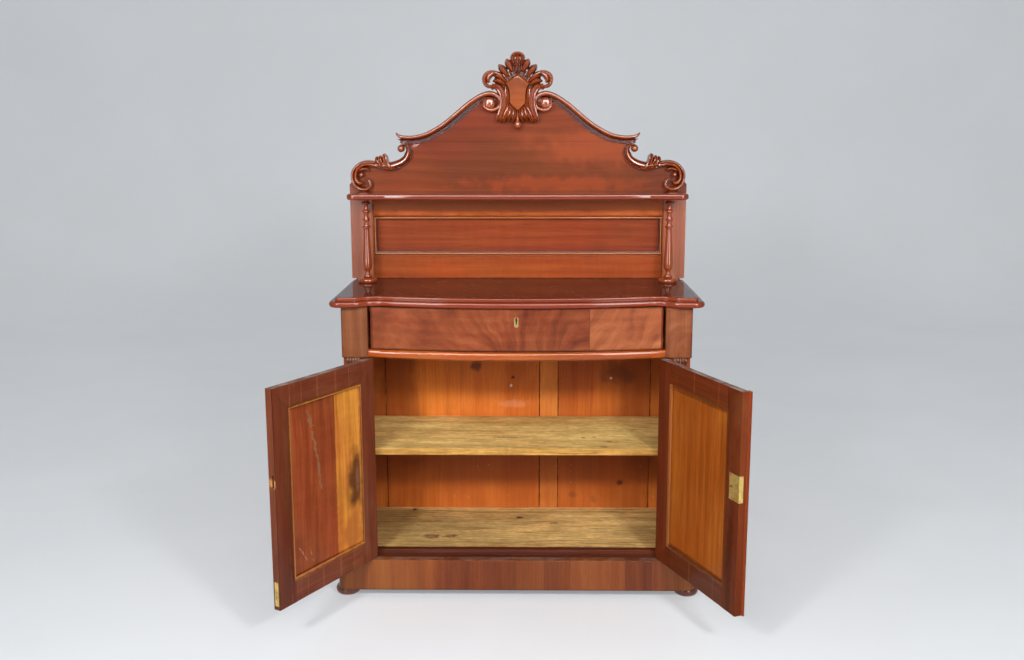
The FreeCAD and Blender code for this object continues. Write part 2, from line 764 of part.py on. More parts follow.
# --- gallery back: two stiles, two rails, a sunk panel and its bead
tongue_y = gallery_y + gallery_sink
well_half = gallery_panel_half_width + gallery_tongue
panel_well = box(-well_half, well_half, tongue_y, gallery_back_y + over,
                 panel_low_z - gallery_tongue, panel_high_z + gallery_tongue)
gallery_stile = box(gallery_panel_half_width, gallery_half_width, gallery_y, gallery_back_y,
                    field_z, gallery_shelf_z).cut(panel_well)
write("gallery_stiles", *pair(gallery_stile))
low_rail = box(-gallery_panel_half_width, gallery_panel_half_width, gallery_y, gallery_back_y,
               field_z, panel_low_z).cut(panel_well)
low_rail = without(low_rail, gallery_foot_holes)
high_rail = box(-gallery_panel_half_width, gallery_panel_half_width, gallery_y, gallery_back_y,
                panel_high_z, gallery_shelf_z).cut(panel_well)
write("gallery_rails", low_rail, high_rail)
write("gallery_panel", box(fit - well_half, well_half - fit, tongue_y, tongue_y + gallery_panel,
                           panel_low_z - gallery_tongue + fit, panel_high_z + gallery_tongue - fit))


def mitred_frame(x0, x1, z0, z1, width, y0, y1):
    # four strips that meet on the diagonals of their corners
    outer = [Vector(x, y0, z) for x, z in ((x0, z0), (x1, z0), (x1, z1), (x0, z1))]
    inner = [Vector(x, y0, z) for x, z in ((x0 + width, z0 + width), (x1 - width, z0 + width),
                                           (x1 - width, z1 - width), (x0 + width, z1 - width))]
    strips = []
    for i in range(len(outer)):
        j = (i + 1) % len(outer)
        inset = (outer[j] - outer[i]).normalize() * mitre_gap
        ring = [outer[i] + inset, outer[j] - inset, inner[j] - inset, inner[i] + inset]
        strips.append(Part.Face(Part.makePolygon(ring + ring[:1])).extrude(Vector(0, y1 - y0, 0)))
    return strips


write("gallery_bead", *mitred_frame(-gallery_panel_half_width, gallery_panel_half_width,
                                    panel_low_z, panel_high_z, bead_width, gallery_y, tongue_y))

# --- gallery shelf
shelf_bow_y = gallery_y - gallery_shelf_depth
gallery_shelf_shape = (gallery_shelf_half_width, shelf_bow_y,
                       shelf_bow_y + gallery_shelf_bow - gallery_shelf_corner,
                       gallery_shelf_half_width - gallery_shelf_hollow_inset,
                       shelf_bow_y + gallery_shelf_bow, gallery_shelf_hollow_radius,
                       gallery_shelf_swell_radius, gallery_shelf_corner_radius)
gallery_shelf_top = gallery_shelf_z + gallery_shelf
gallery_slab = serpentine_slab(gallery_shelf_shape, 0, gallery_y, gallery_shelf_z, gallery_shelf_top)
shelf_rim = [edge for z in (gallery_shelf_z, gallery_shelf_top)
             for edge in edges_at(gallery_slab, z, lambda p: p.y < gallery_y - over)]
gallery_slab = gallery_slab.makeFillet(nose_radius, shelf_rim)
shelf_socket = post(column_x, column_y, gallery_shelf_z - over, gallery_shelf_z + dowel_length + fit,
                    dowel_radius + fit)
forward = Vector(0, -1, 0)
shelf_screw_length = gallery_board * 2
shelf_screw_points = [Vector(x, gallery_back_y, gallery_shelf_z + gallery_shelf / 2)
                      for x in gallery_screw_xs]
shelf_screw_holes = [screw_hole(p, forward, shelf_screw_length) for p in shelf_screw_points]
write("gallery_shelf", without(gallery_slab, pair(shelf_socket) + shelf_screw_holes))


# --- turned columns
def turned_column():
    height = gallery_shelf_z - field_z
    low = [Vector(radius, 0, rise) for radius, rise in column_base]
    high = [Vector(radius, 0, height - drop) for radius, drop in column_head]
    belly = Vector(column_belly, 0, column_vase_belly)
    taper = Vector(column_vase_taper[0], 0, column_vase_taper[1])
    vase = smooth_line([low[-1], belly, taper, high[0]]).toShape()
    axis_low = Vector(0, 0, -dowel_length)
    peg = Vector(dowel_radius, 0, -dowel_length)
    foot = Vector(dowel_radius, 0, 0)
    head = Vector(dowel_radius, 0, height)
    tip = Vector(dowel_radius, 0, height + dowel_length)
    axis_high = Vector(0, 0, height + dowel_length)
    below = [axis_low, peg, foot] + low
    above = high + [head, tip, axis_high, axis_low]
    edges = [line(a, b) for a, b in zip(below, below[1:])] + [vase]
    edges += [line(a, b) for a, b in zip(above, above[1:])]
    column = Part.Face(Part.Wire(edges)).revolve(Vector(0, 0, 0), up, 360)
    column.translate(Vector(column_x, column_y, field_z))
    return column


for name, shape in zip(("column_left", "column_right"), pair(turned_column())):
    write(name, shape)

# --- crest board: its edge follows the carving a little way inside it
crest_edge = [in_crest(x, z - crest_set_in) for x, z in reversed(crest_line)]
side_edge = [in_crest(x, z) for x, z in scroll_line[:8]]


def crest_half_edges(side):
    def place(p):
        return Vector(side * p.x, p.y, p.z)

    summit = in_crest(0, crest_peak)
    shoulder = in_crest(crest_line[-1][0] / 2, crest_shoulder)
    corner = in_crest(crest_half, crest_foot_height)
    base = in_crest(crest_half, 0)
    rail_run = smooth_line([place(p) for p in crest_edge]).toShape()
    scroll_run = smooth_line([place(p) for p in side_edge]).toShape()
    return [arc(place(summit), place(shoulder), place(crest_edge[0])), rail_run,
            line(place(crest_edge[-1]), place(side_edge[0])), scroll_run,
            line(place(side_edge[-1]), place(corner)), line(place(corner), place(base)),
            line(place(base), in_crest(0, 0))]


crest_wire = Part.Wire(Part.__sortEdges__(crest_half_edges(1) + crest_half_edges(-1)))
crest_board = Part.Face(crest_wire).extrude(Vector(0, gallery_board, 0))
write("crest_board", without(crest_board, shelf_screw_holes))


# --- crest carving
def crest_rail():
    bar = ribbon(crest_line, crest_rail_width, carving_depth)
    volute = disc(*volute_centre, volute_radius, carving_depth)
    eye = disc(*eye_centre, eye_radius, carving_depth + eye_stand)
    return bar.fuse([volute, eye]).removeSplitter()


def crest_scroll():
    bar = ribbon(scroll_line, scroll_width, carving_depth)
    ball = disc(*scroll_eye, scroll_eye_radius, carving_depth)
    curl = disc(*curl_eye, curl_eye_radius, carving_depth)
    curl_neck = ribbon((scroll_line[-1], curl_neck_middle, curl_eye), scroll_width / 2, carving_depth)
    leaf = arc_chain(leaf_root, leaf_arcs)
    leaf.append(line(in_crest(*leaf_arcs[-1][1]), in_crest(*leaf_root)))
    leaf_body = carved(Part.Wire(leaf), carving_depth)
    return bar.fuse([ball, curl, curl_neck, leaf_body]).removeSplitter()


for name, shape in zip(("crest_rail_left", "crest_rail_right"), pair(crest_rail())):
    write(name, shape)
for name, shape in zip(("crest_scroll_left", "crest_scroll_right"), pair(crest_scroll())):
    write(name, shape)


def mirror_points(points):
    return [(-x, z) for x, z in points]


def cartouche():
    right = arc_chain(cartouche_top, cartouche_arcs)
    flipped_arcs = [mirror_points(points) for points in cartouche_arcs]
    left = arc_chain(mirror_points([cartouche_top])[0], flipped_arcs)
    low_end = cartouche_arcs[-1][1]
    head = arc(in_crest(-cartouche_top[0], cartouche_top[1]), in_crest(0, cartouche_summit),
               in_crest(*cartouche_top))
    bud = arc(in_crest(-low_end[0], low_end[1]), in_crest(0, cartouche_bud), in_crest(*low_end))
    body = carved(Part.Wire(Part.__sortEdges__(right + left + [head, bud])), cartouche_depth)
    corners = list(shield_outline) + mirror_points(reversed(shield_outline[1:-1]))
    ring = [in_crest(x, z) for x, z in corners]
    shield = carved(Part.makePolygon(ring + ring[:1]), cartouche_depth + shield_depth)
    return without(body.fuse(shield).removeSplitter(), pair(crest_rail()))


write("cartouche", cartouche())


# --- locks: drawn with the key pin at the origin, the bolt along X and the plate facing +Y
def key_shape(length, spare):
    # a round hole for the key's shank with a slot for its bit, along the plate's normal
    wall = keyhole_radius + spare
    shank = Part.makeCylinder(wall, length, Vector(0, over, 0), Vector(0, -1, 0))
    bit = box(-keyhole_slot - spare, 0, over - length, over, -wall / 2, wall / 2)
    return shank.fuse(bit)


def lock_case(bolt_offset):
    far = lock_pin_setback
    near = far - lock_length
    half = lock_breadth / 2
    plate = box(near, far, -lock_plate, 0, -half, half)
    case = box(near + lock_case_margin, far - selvage, -lock_plate - lock_case_depth, -lock_plate,
               -half + lock_case_margin, half - lock_case_margin)
    edge = box(far - selvage, far, -selvage_depth, 0, -half, half)
    body = plate.fuse([case, edge]).removeSplitter()
    gap = lock_clearance
    way = box(far - lock_bolt_length - lock_travel, far + over,
              -bolt_plane - lock_bolt_thickness / 2 - gap, -bolt_plane + lock_bolt_thickness / 2 + gap,
              bolt_offset - lock_bolt_breadth / 2 - gap, bolt_offset + lock_bolt_breadth / 2 + gap)
    return without(body, [way, key_shape(selvage_depth + 2 * over, 0)])


def lock_bolt(bolt_offset):
    far = lock_pin_setback
    bolt = box(far - lock_bolt_length, far, -bolt_plane - lock_bolt_thickness / 2,
               -bolt_plane + lock_bolt_thickness / 2,
               bolt_offset - lock_bolt_breadth / 2, bolt_offset + lock_bolt_breadth / 2)
    key_room = Part.makeCylinder(keyhole_radius + lock_travel, selvage_depth + 2 * over,
                                 Vector(0, over, 0), Vector(0, -1, 0))
    return bolt.cut(key_room)


def lock_recess():
    far = lock_pin_setback
    near = far - lock_length
    half = lock_breadth / 2
    plate = box(near, far + over, -lock_plate, over, -half, half)
    case = box(near + lock_case_margin - fit, far, -lock_plate - lock_case_depth - fit, 0,
               -half + lock_case_margin - fit, half - lock_case_margin + fit)
    edge = box(far - selvage, far + over, -selvage_depth, over, -half, half)
    return plate.fuse([case, edge])


# --- doors, drawn shut on the right-hand side
panel_y = hinge_y + door_lip
rebate_x = (door_meet_x + frame_width - door_rebate, door_edge_x - frame_width + door_rebate)
rebate_z = (door_low_z + frame_width - door_rebate, door_high_z - frame_width + door_rebate)
rebate_well = box(rebate_x[0], rebate_x[1], panel_y, door_inner_y + over, rebate_z[0], rebate_z[1])


def door_stile(low_x, high_x):
    return box(low_x, high_x, hinge_y, door_inner_y, door_low_z, door_high_z).cut(rebate_well)


def door_rails():
    inner = (door_meet_x + frame_width, door_edge_x - frame_width)
    low = box(inner[0], inner[1], hinge_y, door_inner_y, door_low_z, door_low_z + frame_width)
    high = box(inner[0], inner[1], hinge_y, door_inner_y, door_high_z - frame_width, door_high_z)
    return [low.cut(rebate_well), high.cut(rebate_well)]


def door_panel_board():
    return box(rebate_x[0] + fit, rebate_x[1] - fit, panel_y, panel_y + door_panel,
               rebate_z[0] + fit, rebate_z[1] - fit)


def door_beads():
    return mitred_frame(rebate_x[0], rebate_x[1], rebate_z[0], rebate_z[1], door_rebate,
                        panel_y + door_panel, panel_y + door_panel + door_bead)


hinge_stile = without(door_stile(door_edge_x - frame_width, door_edge_x), hinge_wood_cutters(-1))
meeting_stile = door_stile(door_meet_x, door_meet_x + frame_width)


def swing(shape, side):
    if side > 0:
        turned = shape.copy()
        turned.rotate(Vector(hinge_x, hinge_y, 0), up, open_right)
        return turned
    turned = mirrored(shape)
    turned.rotate(Vector(-hinge_x, hinge_y, 0), up, -open_left)
    return turned


def write_door_piece(name, side, *solids):
    write(name, *[swing(solid, side) for solid in solids])


# lock of the right-hand door, its bolt towards the meeting edge
def in_right_door(shape):
    placed = mirrored(shape)
    placed.translate(Vector(door_meet_x + lock_pin_setback, door_inner_y, door_lock_height))
    return placed


bolt_z = door_lock_height + door_bolt_offset
right_meeting = meeting_stile.cut(in_right_door(lock_recess()))
right_meeting = right_meeting.cut(in_right_door(key_shape(door_thickness + 2 * over, fit)))

# keeper mortise and flush bolt of the left-hand door, in the same shut right-hand frame
bolt_mid_y = door_inner_y - bolt_plane
keeper = box(door_meet_x - over, door_meet_x + keeper_depth,
             bolt_mid_y - mortise_half_y, bolt_mid_y + mortise_half_y,
             bolt_z - keeper_height / 2, bolt_z + keeper_height / 2)
plate_low_z = door_low_z + bolt_plate_rise
plate_high_z = plate_low_z + bolt_plate_height
plate_x = door_meet_x + bolt_plate_thickness
plate_box = (bolt_y - bolt_plate_width / 2, bolt_y + bolt_plate_width / 2, plate_low_z, plate_high_z)
bolt_plate = box(door_meet_x, plate_x, *plate_box)
knob_z = door_low_z + bolt_knob_rise
knob_slot = box(door_meet_x - over, plate_x + over, bolt_y - bolt_knob / 2 - bolt_clearance,
                bolt_y + bolt_knob / 2 + bolt_clearance,
                knob_z - bolt_knob / 2 - bolt_travel - bolt_clearance,
                knob_z + bolt_knob / 2 + bolt_clearance)
plate_screw_head = Vector(door_meet_x, bolt_y, plate_high_z - bolt_plate_screw_inset)
right_way = Vector(1, 0, 0)
plate_screw_hole = screw_hole(plate_screw_head, right_way, screw_length)
channel_top_z = door_low_z + bolt_length + bolt_clearance
channel = box(plate_x, plate_x + bolt_thickness + 2 * bolt_clearance,
              bolt_y - bolt_width / 2 - bolt_clearance, bolt_y + bolt_width / 2 + bolt_clearance,
              door_low_z - over, channel_top_z)
flush_bolt = box(plate_x + bolt_clearance, plate_x + bolt_clearance + bolt_thickness,
                 bolt_y - bolt_width / 2, bolt_y + bolt_width / 2, door_low_z, door_low_z + bolt_length)
knob = box(door_meet_x + bolt_clearance, plate_x + bolt_clearance + over, bolt_y - bolt_knob / 2,
           bolt_y + bolt_knob / 2, knob_z - bolt_knob / 2, knob_z + bolt_knob / 2)
bolt_plate = without(bolt_plate, [knob_slot, plate_screw_hole])
flush_bolt = flush_bolt.fuse(knob).removeSplitter()
left_meeting = without(meeting_stile, [keeper, box(door_meet_x - over, plate_x, *plate_box), channel,
                                       plate_screw_hole])

write_door_piece("left_door_stiles", -1, hinge_stile, left_meeting)
write_door_piece("left_door_rails", -1, *door_rails())
write_door_piece("left_door_panel", -1, door_panel_board())
write_door_piece("left_door_beads", -1, *door_beads())
write_door_piece("flush_bolt_plate", -1, bolt_plate, screw(plate_screw_head, right_way, screw_length))
write_door_piece("flush_bolt", -1, flush_bolt)

astragal_front = hinge_y - astragal_depth
astragal = box(door_meet_x - astragal_lap, door_meet_x + astragal_seat, astragal_front, hinge_y,
               door_low_z, door_high_z)
astragal = astragal.cut(box(door_meet_x - astragal_lap - over, door_meet_x - meeting_gap / 2,
                            hinge_y - astragal_clearance, hinge_y + over,
                            door_low_z - over, door_high_z + over))
astragal = astragal.makeFillet(arris, upright_edges(astragal, lambda p: p.y < astragal_front + over))

write_door_piece("right_door_stiles", 1, hinge_stile, right_meeting)
write_door_piece("right_door_rails", 1, *door_rails())
write_door_piece("right_door_panel", 1, door_panel_board())
write_door_piece("right_door_beads", 1, *door_beads())
write_door_piece("right_door_astragal", 1, astragal)
write_door_piece("door_lock", 1, in_right_door(lock_case(door_bolt_offset)))
write_door_piece("door_lock_bolt", 1, in_right_door(lock_bolt(door_bolt_offset)))

# --- hinges
door_leaves = []
frame_leaves = []
pins = []
for mid_z in hinge_mid_zs:
    door_leaves += [hinge_leaf(mid_z, -1)] + leaf_screws(mid_z, -1)
    frame_leaves += [hinge_leaf(mid_z, 1)] + leaf_screws(mid_z, 1)
    pins.append(post(hinge_x, hinge_y, mid_z - leaf_half, mid_z + leaf_half, pin_radius))
write_door_piece("left_hinge_leaves", -1, *door_leaves)
write_door_piece("right_hinge_leaves", 1, *door_leaves)
write("frame_hinge_leaves", *frame_leaves, *[mirrored(leaf) for leaf in frame_leaves])
write("hinge_pins", *pins, *[mirrored(pin) for pin in pins])

# --- drawer
drawer_end_y = face_y + drawer_recess
drawer_r = bow_radius(drawer_half, drawer_bow)
drawer_cy = drawer_mid_y + drawer_r
drawer_joint_y = drawer_end_y + drawer_front
front_slab = bowed_slab(drawer_half, drawer_end_y, drawer_bow, drawer_joint_y, drawer_low_z, drawer_high_z)
inner_disc = post(0, drawer_cy, drawer_low_z - over, drawer_high_z + over, drawer_r - drawer_front)
hollow_half = drawer_half - drawer_end_block
hollow = inner_disc.common(box(-hollow_half, hollow_half, face_y - 2 * drawer_bow, drawer_joint_y + over,
                               drawer_low_z - over, drawer_high_z + over))
front_slab = front_slab.cut(hollow)
front_ends = upright_edges(front_slab,
                           lambda p: abs(p.x) > drawer_half - over and p.y < drawer_end_y + over)
front_slab = front_slab.makeFillet(drawer_end_round, front_ends)


def in_drawer(shape):
    placed = shape.copy()
    placed.rotate(Vector(0, 0, 0), Vector(0, 1, 0), -90)
    placed.translate(Vector(0, drawer_inner_y, drawer_lock_z))
    return placed


escutcheon_y = drawer_mid_y + escutcheon_seat
seat_half = escutcheon_width / 2
straight = escutcheon_height - escutcheon_width


def escutcheon_blank(thickness):
    low_z = drawer_lock_z - keyhole_slot / 2 - straight / 2
    body = box(-seat_half, seat_half, escutcheon_y - thickness, escutcheon_y, low_z, low_z + straight)
    caps = [Part.makeCylinder(seat_half, thickness, Vector(0, escutcheon_y, z), Vector(0, -1, 0))
            for z in (low_z, low_z + straight)]
    return body.fuse(caps).removeSplitter()


drawer_keyway = in_drawer(key_shape(drawer_front + 3 * over, fit))
front_slab = without(front_slab, [in_drawer(lock_recess()), drawer_keyway,
                                  escutcheon_blank(escutcheon_seat + over)])
write("drawer_front", front_slab)
write("escutcheon", escutcheon_blank(escutcheon_thickness).cut(drawer_keyway))
write("drawer_lock", in_drawer(lock_case(0)))
write("drawer_lock_bolt", in_drawer(lock_bolt(0)))

side_low_z = rail_top_z + running_gap
side_high_z = top_z - kicker_height - drawer_side_gap
drawer_back_y = back_board_y - drawer_back_gap
drawer_side_piece = box(drawer_half - drawer_side, drawer_half, drawer_joint_y, drawer_back_y,
                        side_low_z, side_high_z)
write("drawer_sides", *pair(drawer_side_piece))
inside_half = drawer_half - drawer_side
bottom_z = side_low_z + drawer_bottom_rise
bottom_top_z = bottom_z + drawer_bottom
write("drawer_back", box(-inside_half, inside_half, drawer_back_y - drawer_side, drawer_back_y,
                         bottom_top_z, side_high_z - drawer_side))
bottom_reach = box(-hollow_half, hollow_half, drawer_mid_y, drawer_joint_y, bottom_z, bottom_top_z)
bottom_front = bottom_reach.common(post(0, drawer_cy, bottom_z - over, bottom_top_z + over,
                                        drawer_r - drawer_front - fit))
bottom_main = box(-inside_half, inside_half, drawer_joint_y, drawer_back_y, bottom_z, bottom_top_z)
write("drawer_bottom", bottom_main.fuse(bottom_front).removeSplitter())

# --- screws of the carcase
carcase_screws = [screw(p, up, gallery_foot_length) for p in gallery_foot_points]
carcase_screws += [screw(p, forward, shelf_screw_length) for p in shelf_screw_points]
for p in kicker_points:
    carcase_screws += pair(screw(p, up, top_screw_length))
write("screws", *carcase_screws)
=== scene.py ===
import json
from math import cos, dist, hypot, pi, radians, sin, tau
from types import SimpleNamespace

import bmesh
import bpy
from mathutils import Matrix, Vector

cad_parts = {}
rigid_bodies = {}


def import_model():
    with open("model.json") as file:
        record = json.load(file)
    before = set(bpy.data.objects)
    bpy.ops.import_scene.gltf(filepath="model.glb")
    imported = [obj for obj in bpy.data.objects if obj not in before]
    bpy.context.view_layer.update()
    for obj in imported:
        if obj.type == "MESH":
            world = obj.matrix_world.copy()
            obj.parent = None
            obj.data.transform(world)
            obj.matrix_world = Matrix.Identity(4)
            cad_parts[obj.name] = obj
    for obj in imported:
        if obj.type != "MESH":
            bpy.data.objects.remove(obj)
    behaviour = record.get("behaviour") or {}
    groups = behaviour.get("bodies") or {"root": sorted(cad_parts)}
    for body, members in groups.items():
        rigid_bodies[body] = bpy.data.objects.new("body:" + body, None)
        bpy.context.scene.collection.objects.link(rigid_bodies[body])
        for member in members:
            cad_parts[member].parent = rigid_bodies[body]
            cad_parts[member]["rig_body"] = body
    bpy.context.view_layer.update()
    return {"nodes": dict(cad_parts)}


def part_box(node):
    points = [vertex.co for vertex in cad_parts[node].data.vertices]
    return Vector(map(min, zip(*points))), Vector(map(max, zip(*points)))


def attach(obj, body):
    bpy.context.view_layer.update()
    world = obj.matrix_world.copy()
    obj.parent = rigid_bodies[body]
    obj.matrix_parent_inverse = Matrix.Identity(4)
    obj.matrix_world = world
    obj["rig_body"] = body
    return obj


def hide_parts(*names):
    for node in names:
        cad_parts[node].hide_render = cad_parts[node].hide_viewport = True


scene = bpy.context.scene
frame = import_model()
nodes = frame["nodes"]
slotOf = {name: node.material_slots[0].material.name for name, node in nodes.items()}
bodyOf = {name: node["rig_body"] for name, node in nodes.items()}
mm = 0.001
sides = ((-1, "left"), (1, "right"))
print("frame loaded:", len(nodes), "pieces")


def linked(name, data):  # a new object in the scene
    made = bpy.data.objects.new(name, data)
    scene.collection.objects.link(made)
    return made


# camera

camera = dict(
    place=(0.0374, -3.4219, 1.4459), pitch=10.674, yaw=0.9028, roll=-0.0947, lens=38.766,
    sensor=36)
cameraData = bpy.data.cameras.new("camera")
cameraData.lens = camera["lens"]
cameraData.sensor_width = camera["sensor"]
cameraObject = linked("camera", cameraData)
cameraObject.matrix_world = (
    Matrix.Translation(camera["place"])
    @ Matrix.Rotation(radians(camera["yaw"]), 4, "Z")
    @ Matrix.Rotation(radians(90 - camera["pitch"]), 4, "X")
    @ Matrix.Rotation(radians(camera["roll"]), 4, "Z")
)
scene.camera = cameraObject


# finishes

class Wire:  # one socket: arithmetic on it adds the nodes that work it out
    def __init__(self, paint, socket):
        self.paint = paint
        self.socket = socket

    def pair(self, operation, first, second):
        kinds = [x.socket.type if isinstance(x, Wire) else type(x) for x in (first, second)]
        kind = "VectorMath" if any(k in ("VECTOR", "RGBA", tuple) for k in kinds) else "Math"
        return self.paint.node(kind, {"operation": operation}, {0: first, 1: second})

    def __add__(self, other):
        return self.pair("ADD", self, other)

    def __radd__(self, other):
        return self.pair("ADD", other, self)

    def __sub__(self, other):
        return self.pair("SUBTRACT", self, other)

    def __rsub__(self, other):
        return self.pair("SUBTRACT", other, self)

    def __mul__(self, other):
        return self.pair("MULTIPLY", self, other)

    def __rmul__(self, other):
        return self.pair("MULTIPLY", other, self)

    def length(self):
        return self.paint.node("VectorMath", {"operation": "LENGTH"}, {0: self}, "Value")

    def step(self, low, high):  # 0 below low, 1 above high, smooth between
        settings = {"interpolation_type": "SMOOTHSTEP"}
        return self.paint.node("MapRange", settings, {"Value": self, "From Min": low, "From Max": high})

    def maths(self, operation, *others):
        return self.paint.node("Math", {"operation": operation}, dict(enumerate((self, *others))))

    def within(self, low, high, soft):  # 1 between low and high
        return self.step(low - soft, low + soft) * (1 - self.step(high - soft, high + soft))

    def part(self, axis):
        return self.paint.node("SeparateXYZ", {}, {0: self}, axis)


class Paint:  # one node material
    def __init__(self, name):
        self.material = bpy.data.materials.new(name)
        self.material.use_nodes = True
        self.tree = self.material.node_tree
        self.tree.nodes.clear()

    def node(self, kind, settings=None, sockets=None, outlet=None):
        made = self.tree.nodes.new("ShaderNode" + kind)
        for key, value in (settings or {}).items():
            if key == "stops":
                ramp = made.color_ramp
                while len(ramp.elements) < len(value):
                    ramp.elements.new(1)
                for element, (place, colour) in zip(ramp.elements, value):
                    element.position = place
                    element.color = (*colour, 1)
            else:
                setattr(made, key, value)
        for key, value in (sockets or {}).items():
            self.feed(made, key, value)
        shown = [s for s in made.outputs if s.enabled]
        found = shown[0] if outlet is None else next(s for s in shown if s.name == outlet)
        return Wire(self, found)

    def feed(self, made, key, value):
        shown = [s for s in made.inputs if s.enabled]
        socket = shown[key] if isinstance(key, int) else next(s for s in shown if s.name == key)
        if isinstance(value, Wire):
            self.tree.links.new(value.socket, socket)
        elif socket.type == "RGBA":
            socket.default_value = (*value, 1)
        elif socket.type == "VECTOR" and not isinstance(value, tuple):
            socket.default_value = (value, value, value)
        else:
            socket.default_value = value

    def place(self, centre=(0, 0, 0), turn=(0, 0, 0)):  # object coordinates from a moved and turned frame
        sockets = {"Vector": self.node("TexCoord", {}, {}, "Object"), "Location": centre}
        sockets["Rotation"] = tuple(radians(a) for a in turn)
        return self.node("Mapping", {"vector_type": "TEXTURE"}, sockets)

    def noise(self, place, scale=1, detail=2, roughness=0.5, outlet="Fac"):
        sockets = {"Vector": place, "Scale": scale, "Detail": detail, "Roughness": roughness}
        return self.node("TexNoise", {}, sockets, outlet)

    def drift(self, place, scale, detail):  # a random shift, the same all ways round zero
        return self.noise(place, scale, detail, outlet="Color") - (0.5, 0.5, 0.5)

    def mix(self, first, second, share):
        return self.node("Mix", {"data_type": "RGBA"}, {"Factor": share, "A": first, "B": second})

    def finish(self, sockets):
        shader = self.node("BsdfPrincipled", {}, sockets)
        out = self.tree.nodes.new("ShaderNodeOutputMaterial")
        self.tree.links.new(shader.socket, out.inputs["Surface"])
        return self.material


# lengths in metres; colours named tint multiply what lies under them
plainWood = dict(
    tone=(0.25, 0.045, 0.014), deep=(0.5, 0.4, 0.36), pale=(1.45, 1.85, 2.1),
    centre=(0, 0, 0), turn=(0, 0, 0), flat=((0, 0, 0), (0, 0, 0)),
    fine=150, stretch=0.03, streak=0.28, band=0.25, bandSize=24, ring=0.12, ringSize=9, curl=0, curlSize=60,
    wander=0.03, blocks=(0, 0), lines=0.25, lineSize=330, pore=0.3,
    patches=((2.6, (0.62, 0.66, 0.75), 0.6), (3.7, (1, 1.5, 1.35), 0.5)),
    rough=0.48, roughSpread=0.12, shine=0.06, coat=0.4, coatRough=0.1, relief=0.2, lumps=0,
    arris=(1.7, 2.6, 3.2), arrisShare=0.5, ridge=(1.7, 2.4, 1.3), dust=0, specks=0, grime=0, nose=None,
    outside=None, sheets=(), flames=(), stains=(), cracks=(), borders=())
allWood = SimpleNamespace(  # what no finish changes
    poreSize=1100, poreTint=0.45, lineTint=(0.42, 0.36, 0.34), borderTint=(0.34, 0.24, 0.2),
    waxAndShadeTint=(0.3, 0.15, 0.12), speckSize=42, speckColour=(0.75, 0.66, 0.55), dustColour=(0.34, 0.29, 0.25),
    smearSize=11, lumpSize=170, reliefDepth=0.0006, edge=0.0004, flameEdge=0.0003)


def times(colour, share):
    return tuple(min(1, c * k) for c, k in zip(colour, share))


def woodTone(paint, look, place, board, flat):  # the figure: 0 deep, 1 pale
    streak = paint.noise(board * (1, 1, look.stretch), look.fine, 3, 0.65)
    band = paint.noise(board * (1, 1, look.stretch * 1.6), look.bandSize, 2)
    rings = paint.node("TexWave", {"wave_type": "RINGS", "rings_direction": "Z"}, {
        "Vector": board * (1, 1, 0.12), "Scale": look.ringSize, "Distortion": 5, "Detail": 2,
        "Detail Scale": 1.2}, "Fac")
    tone = 0.5 + (streak - 0.5) * (look.streak * 2) + (band - 0.5) * (look.band * 1.6)
    tone = tone + (rings - 0.5) * look.ring
    if look.curl:
        ripple = paint.noise(place * (0.22, 0.22, 1), look.curlSize, 1.5) - 0.5
        tone = tone + ripple * (look.curl * 2)
    size, share = look.blocks
    if share:  # cross-cut veneer in pieces side by side
        cell = (flat.part("X") * (1 / size)).maths("FLOOR")
        piece = paint.node("TexWhiteNoise", {"noise_dimensions": "1D"}, {"W": cell}, "Value")
        tone = tone + (piece - 0.5) * share
    for low, high, x0, z0, fan, arc, share in look.flames:
        away = (flat - (x0, 0, z0) + paint.drift(flat, 5, 2) * 0.16) * (1, 0, 1)
        angle = away.part("Z").maths("ARCTAN2", away.part("X"))
        polar = paint.node("CombineXYZ", {}, {"X": angle * fan, "Y": away.length() * arc})
        plume = paint.noise(polar, 1, 4, 0.6) - 0.5
        tone = tone + plume * flat.part("X").within(low, high, allWood.flameEdge) * (share * 2)
    return tone, streak, band


def markedWood(paint, look, colour, place, flat):  # sheets, stains, cracks, and dark bands along borders: dirt and dark joints, with painted shade where parts meet
    x, z = flat.part("X"), flat.part("Z")
    clean = colour
    for low, high, tint in look.sheets:
        colour = paint.mix(colour, colour * tint, x.within(low, high, allWood.edge))
    for x0, z0, wide, tall, stain, share in look.stains:
        ragged = paint.drift(place, 0.9 / min(wide, tall), 3) * 1.5
        reach = ((flat - (x0, 0, z0)) * (1 / wide, 0, 1 / tall) + ragged * (1, 0, 1)).length()
        colour = paint.mix(colour, stain, (1 - reach.step(0.35, 1.15)) * share)
    for x0, z0, x1, z1, width, tint, share in look.cracks:
        wobble = paint.noise(flat, 30, 3, 0.7) - 0.5
        gap = (x - ((z - z0) * ((x1 - x0) / (z1 - z0)) + x0) + wobble * (width * 8)).maths("ABSOLUTE")
        broken = paint.noise(flat, 80, 2).step(0.36, 0.5)
        reach = z.within(min(z0, z1), max(z0, z1), 0.006)
        colour = paint.mix(colour, tint, (1 - gap.step(width * 0.35, width)) * reach * broken * share)
    # the dark band along a border is painted shade where parts meet, with dirt and dark joints
    for x0, x1, z0, z1, reach, share in look.borders:
        wander = (paint.noise(flat, 45, 3) - 0.5) * (reach * 0.9)
        across = (x - x0).maths("MINIMUM", x1 - x)
        away = across.maths("MINIMUM", (z - z0).maths("MINIMUM", z1 - z)).maths("ABSOLUTE") + wander
        colour = paint.mix(colour, colour * allWood.borderTint, (1 - away.step(0, reach)) * share)
    if look.outside:  # the polished face of a door, before the depth given
        depth, tint = look.outside
        inner = flat.part("Y").step(depth - 0.0003, depth + 0.0003)
        colour = paint.mix(clean * tint, colour, inner)
    return colour


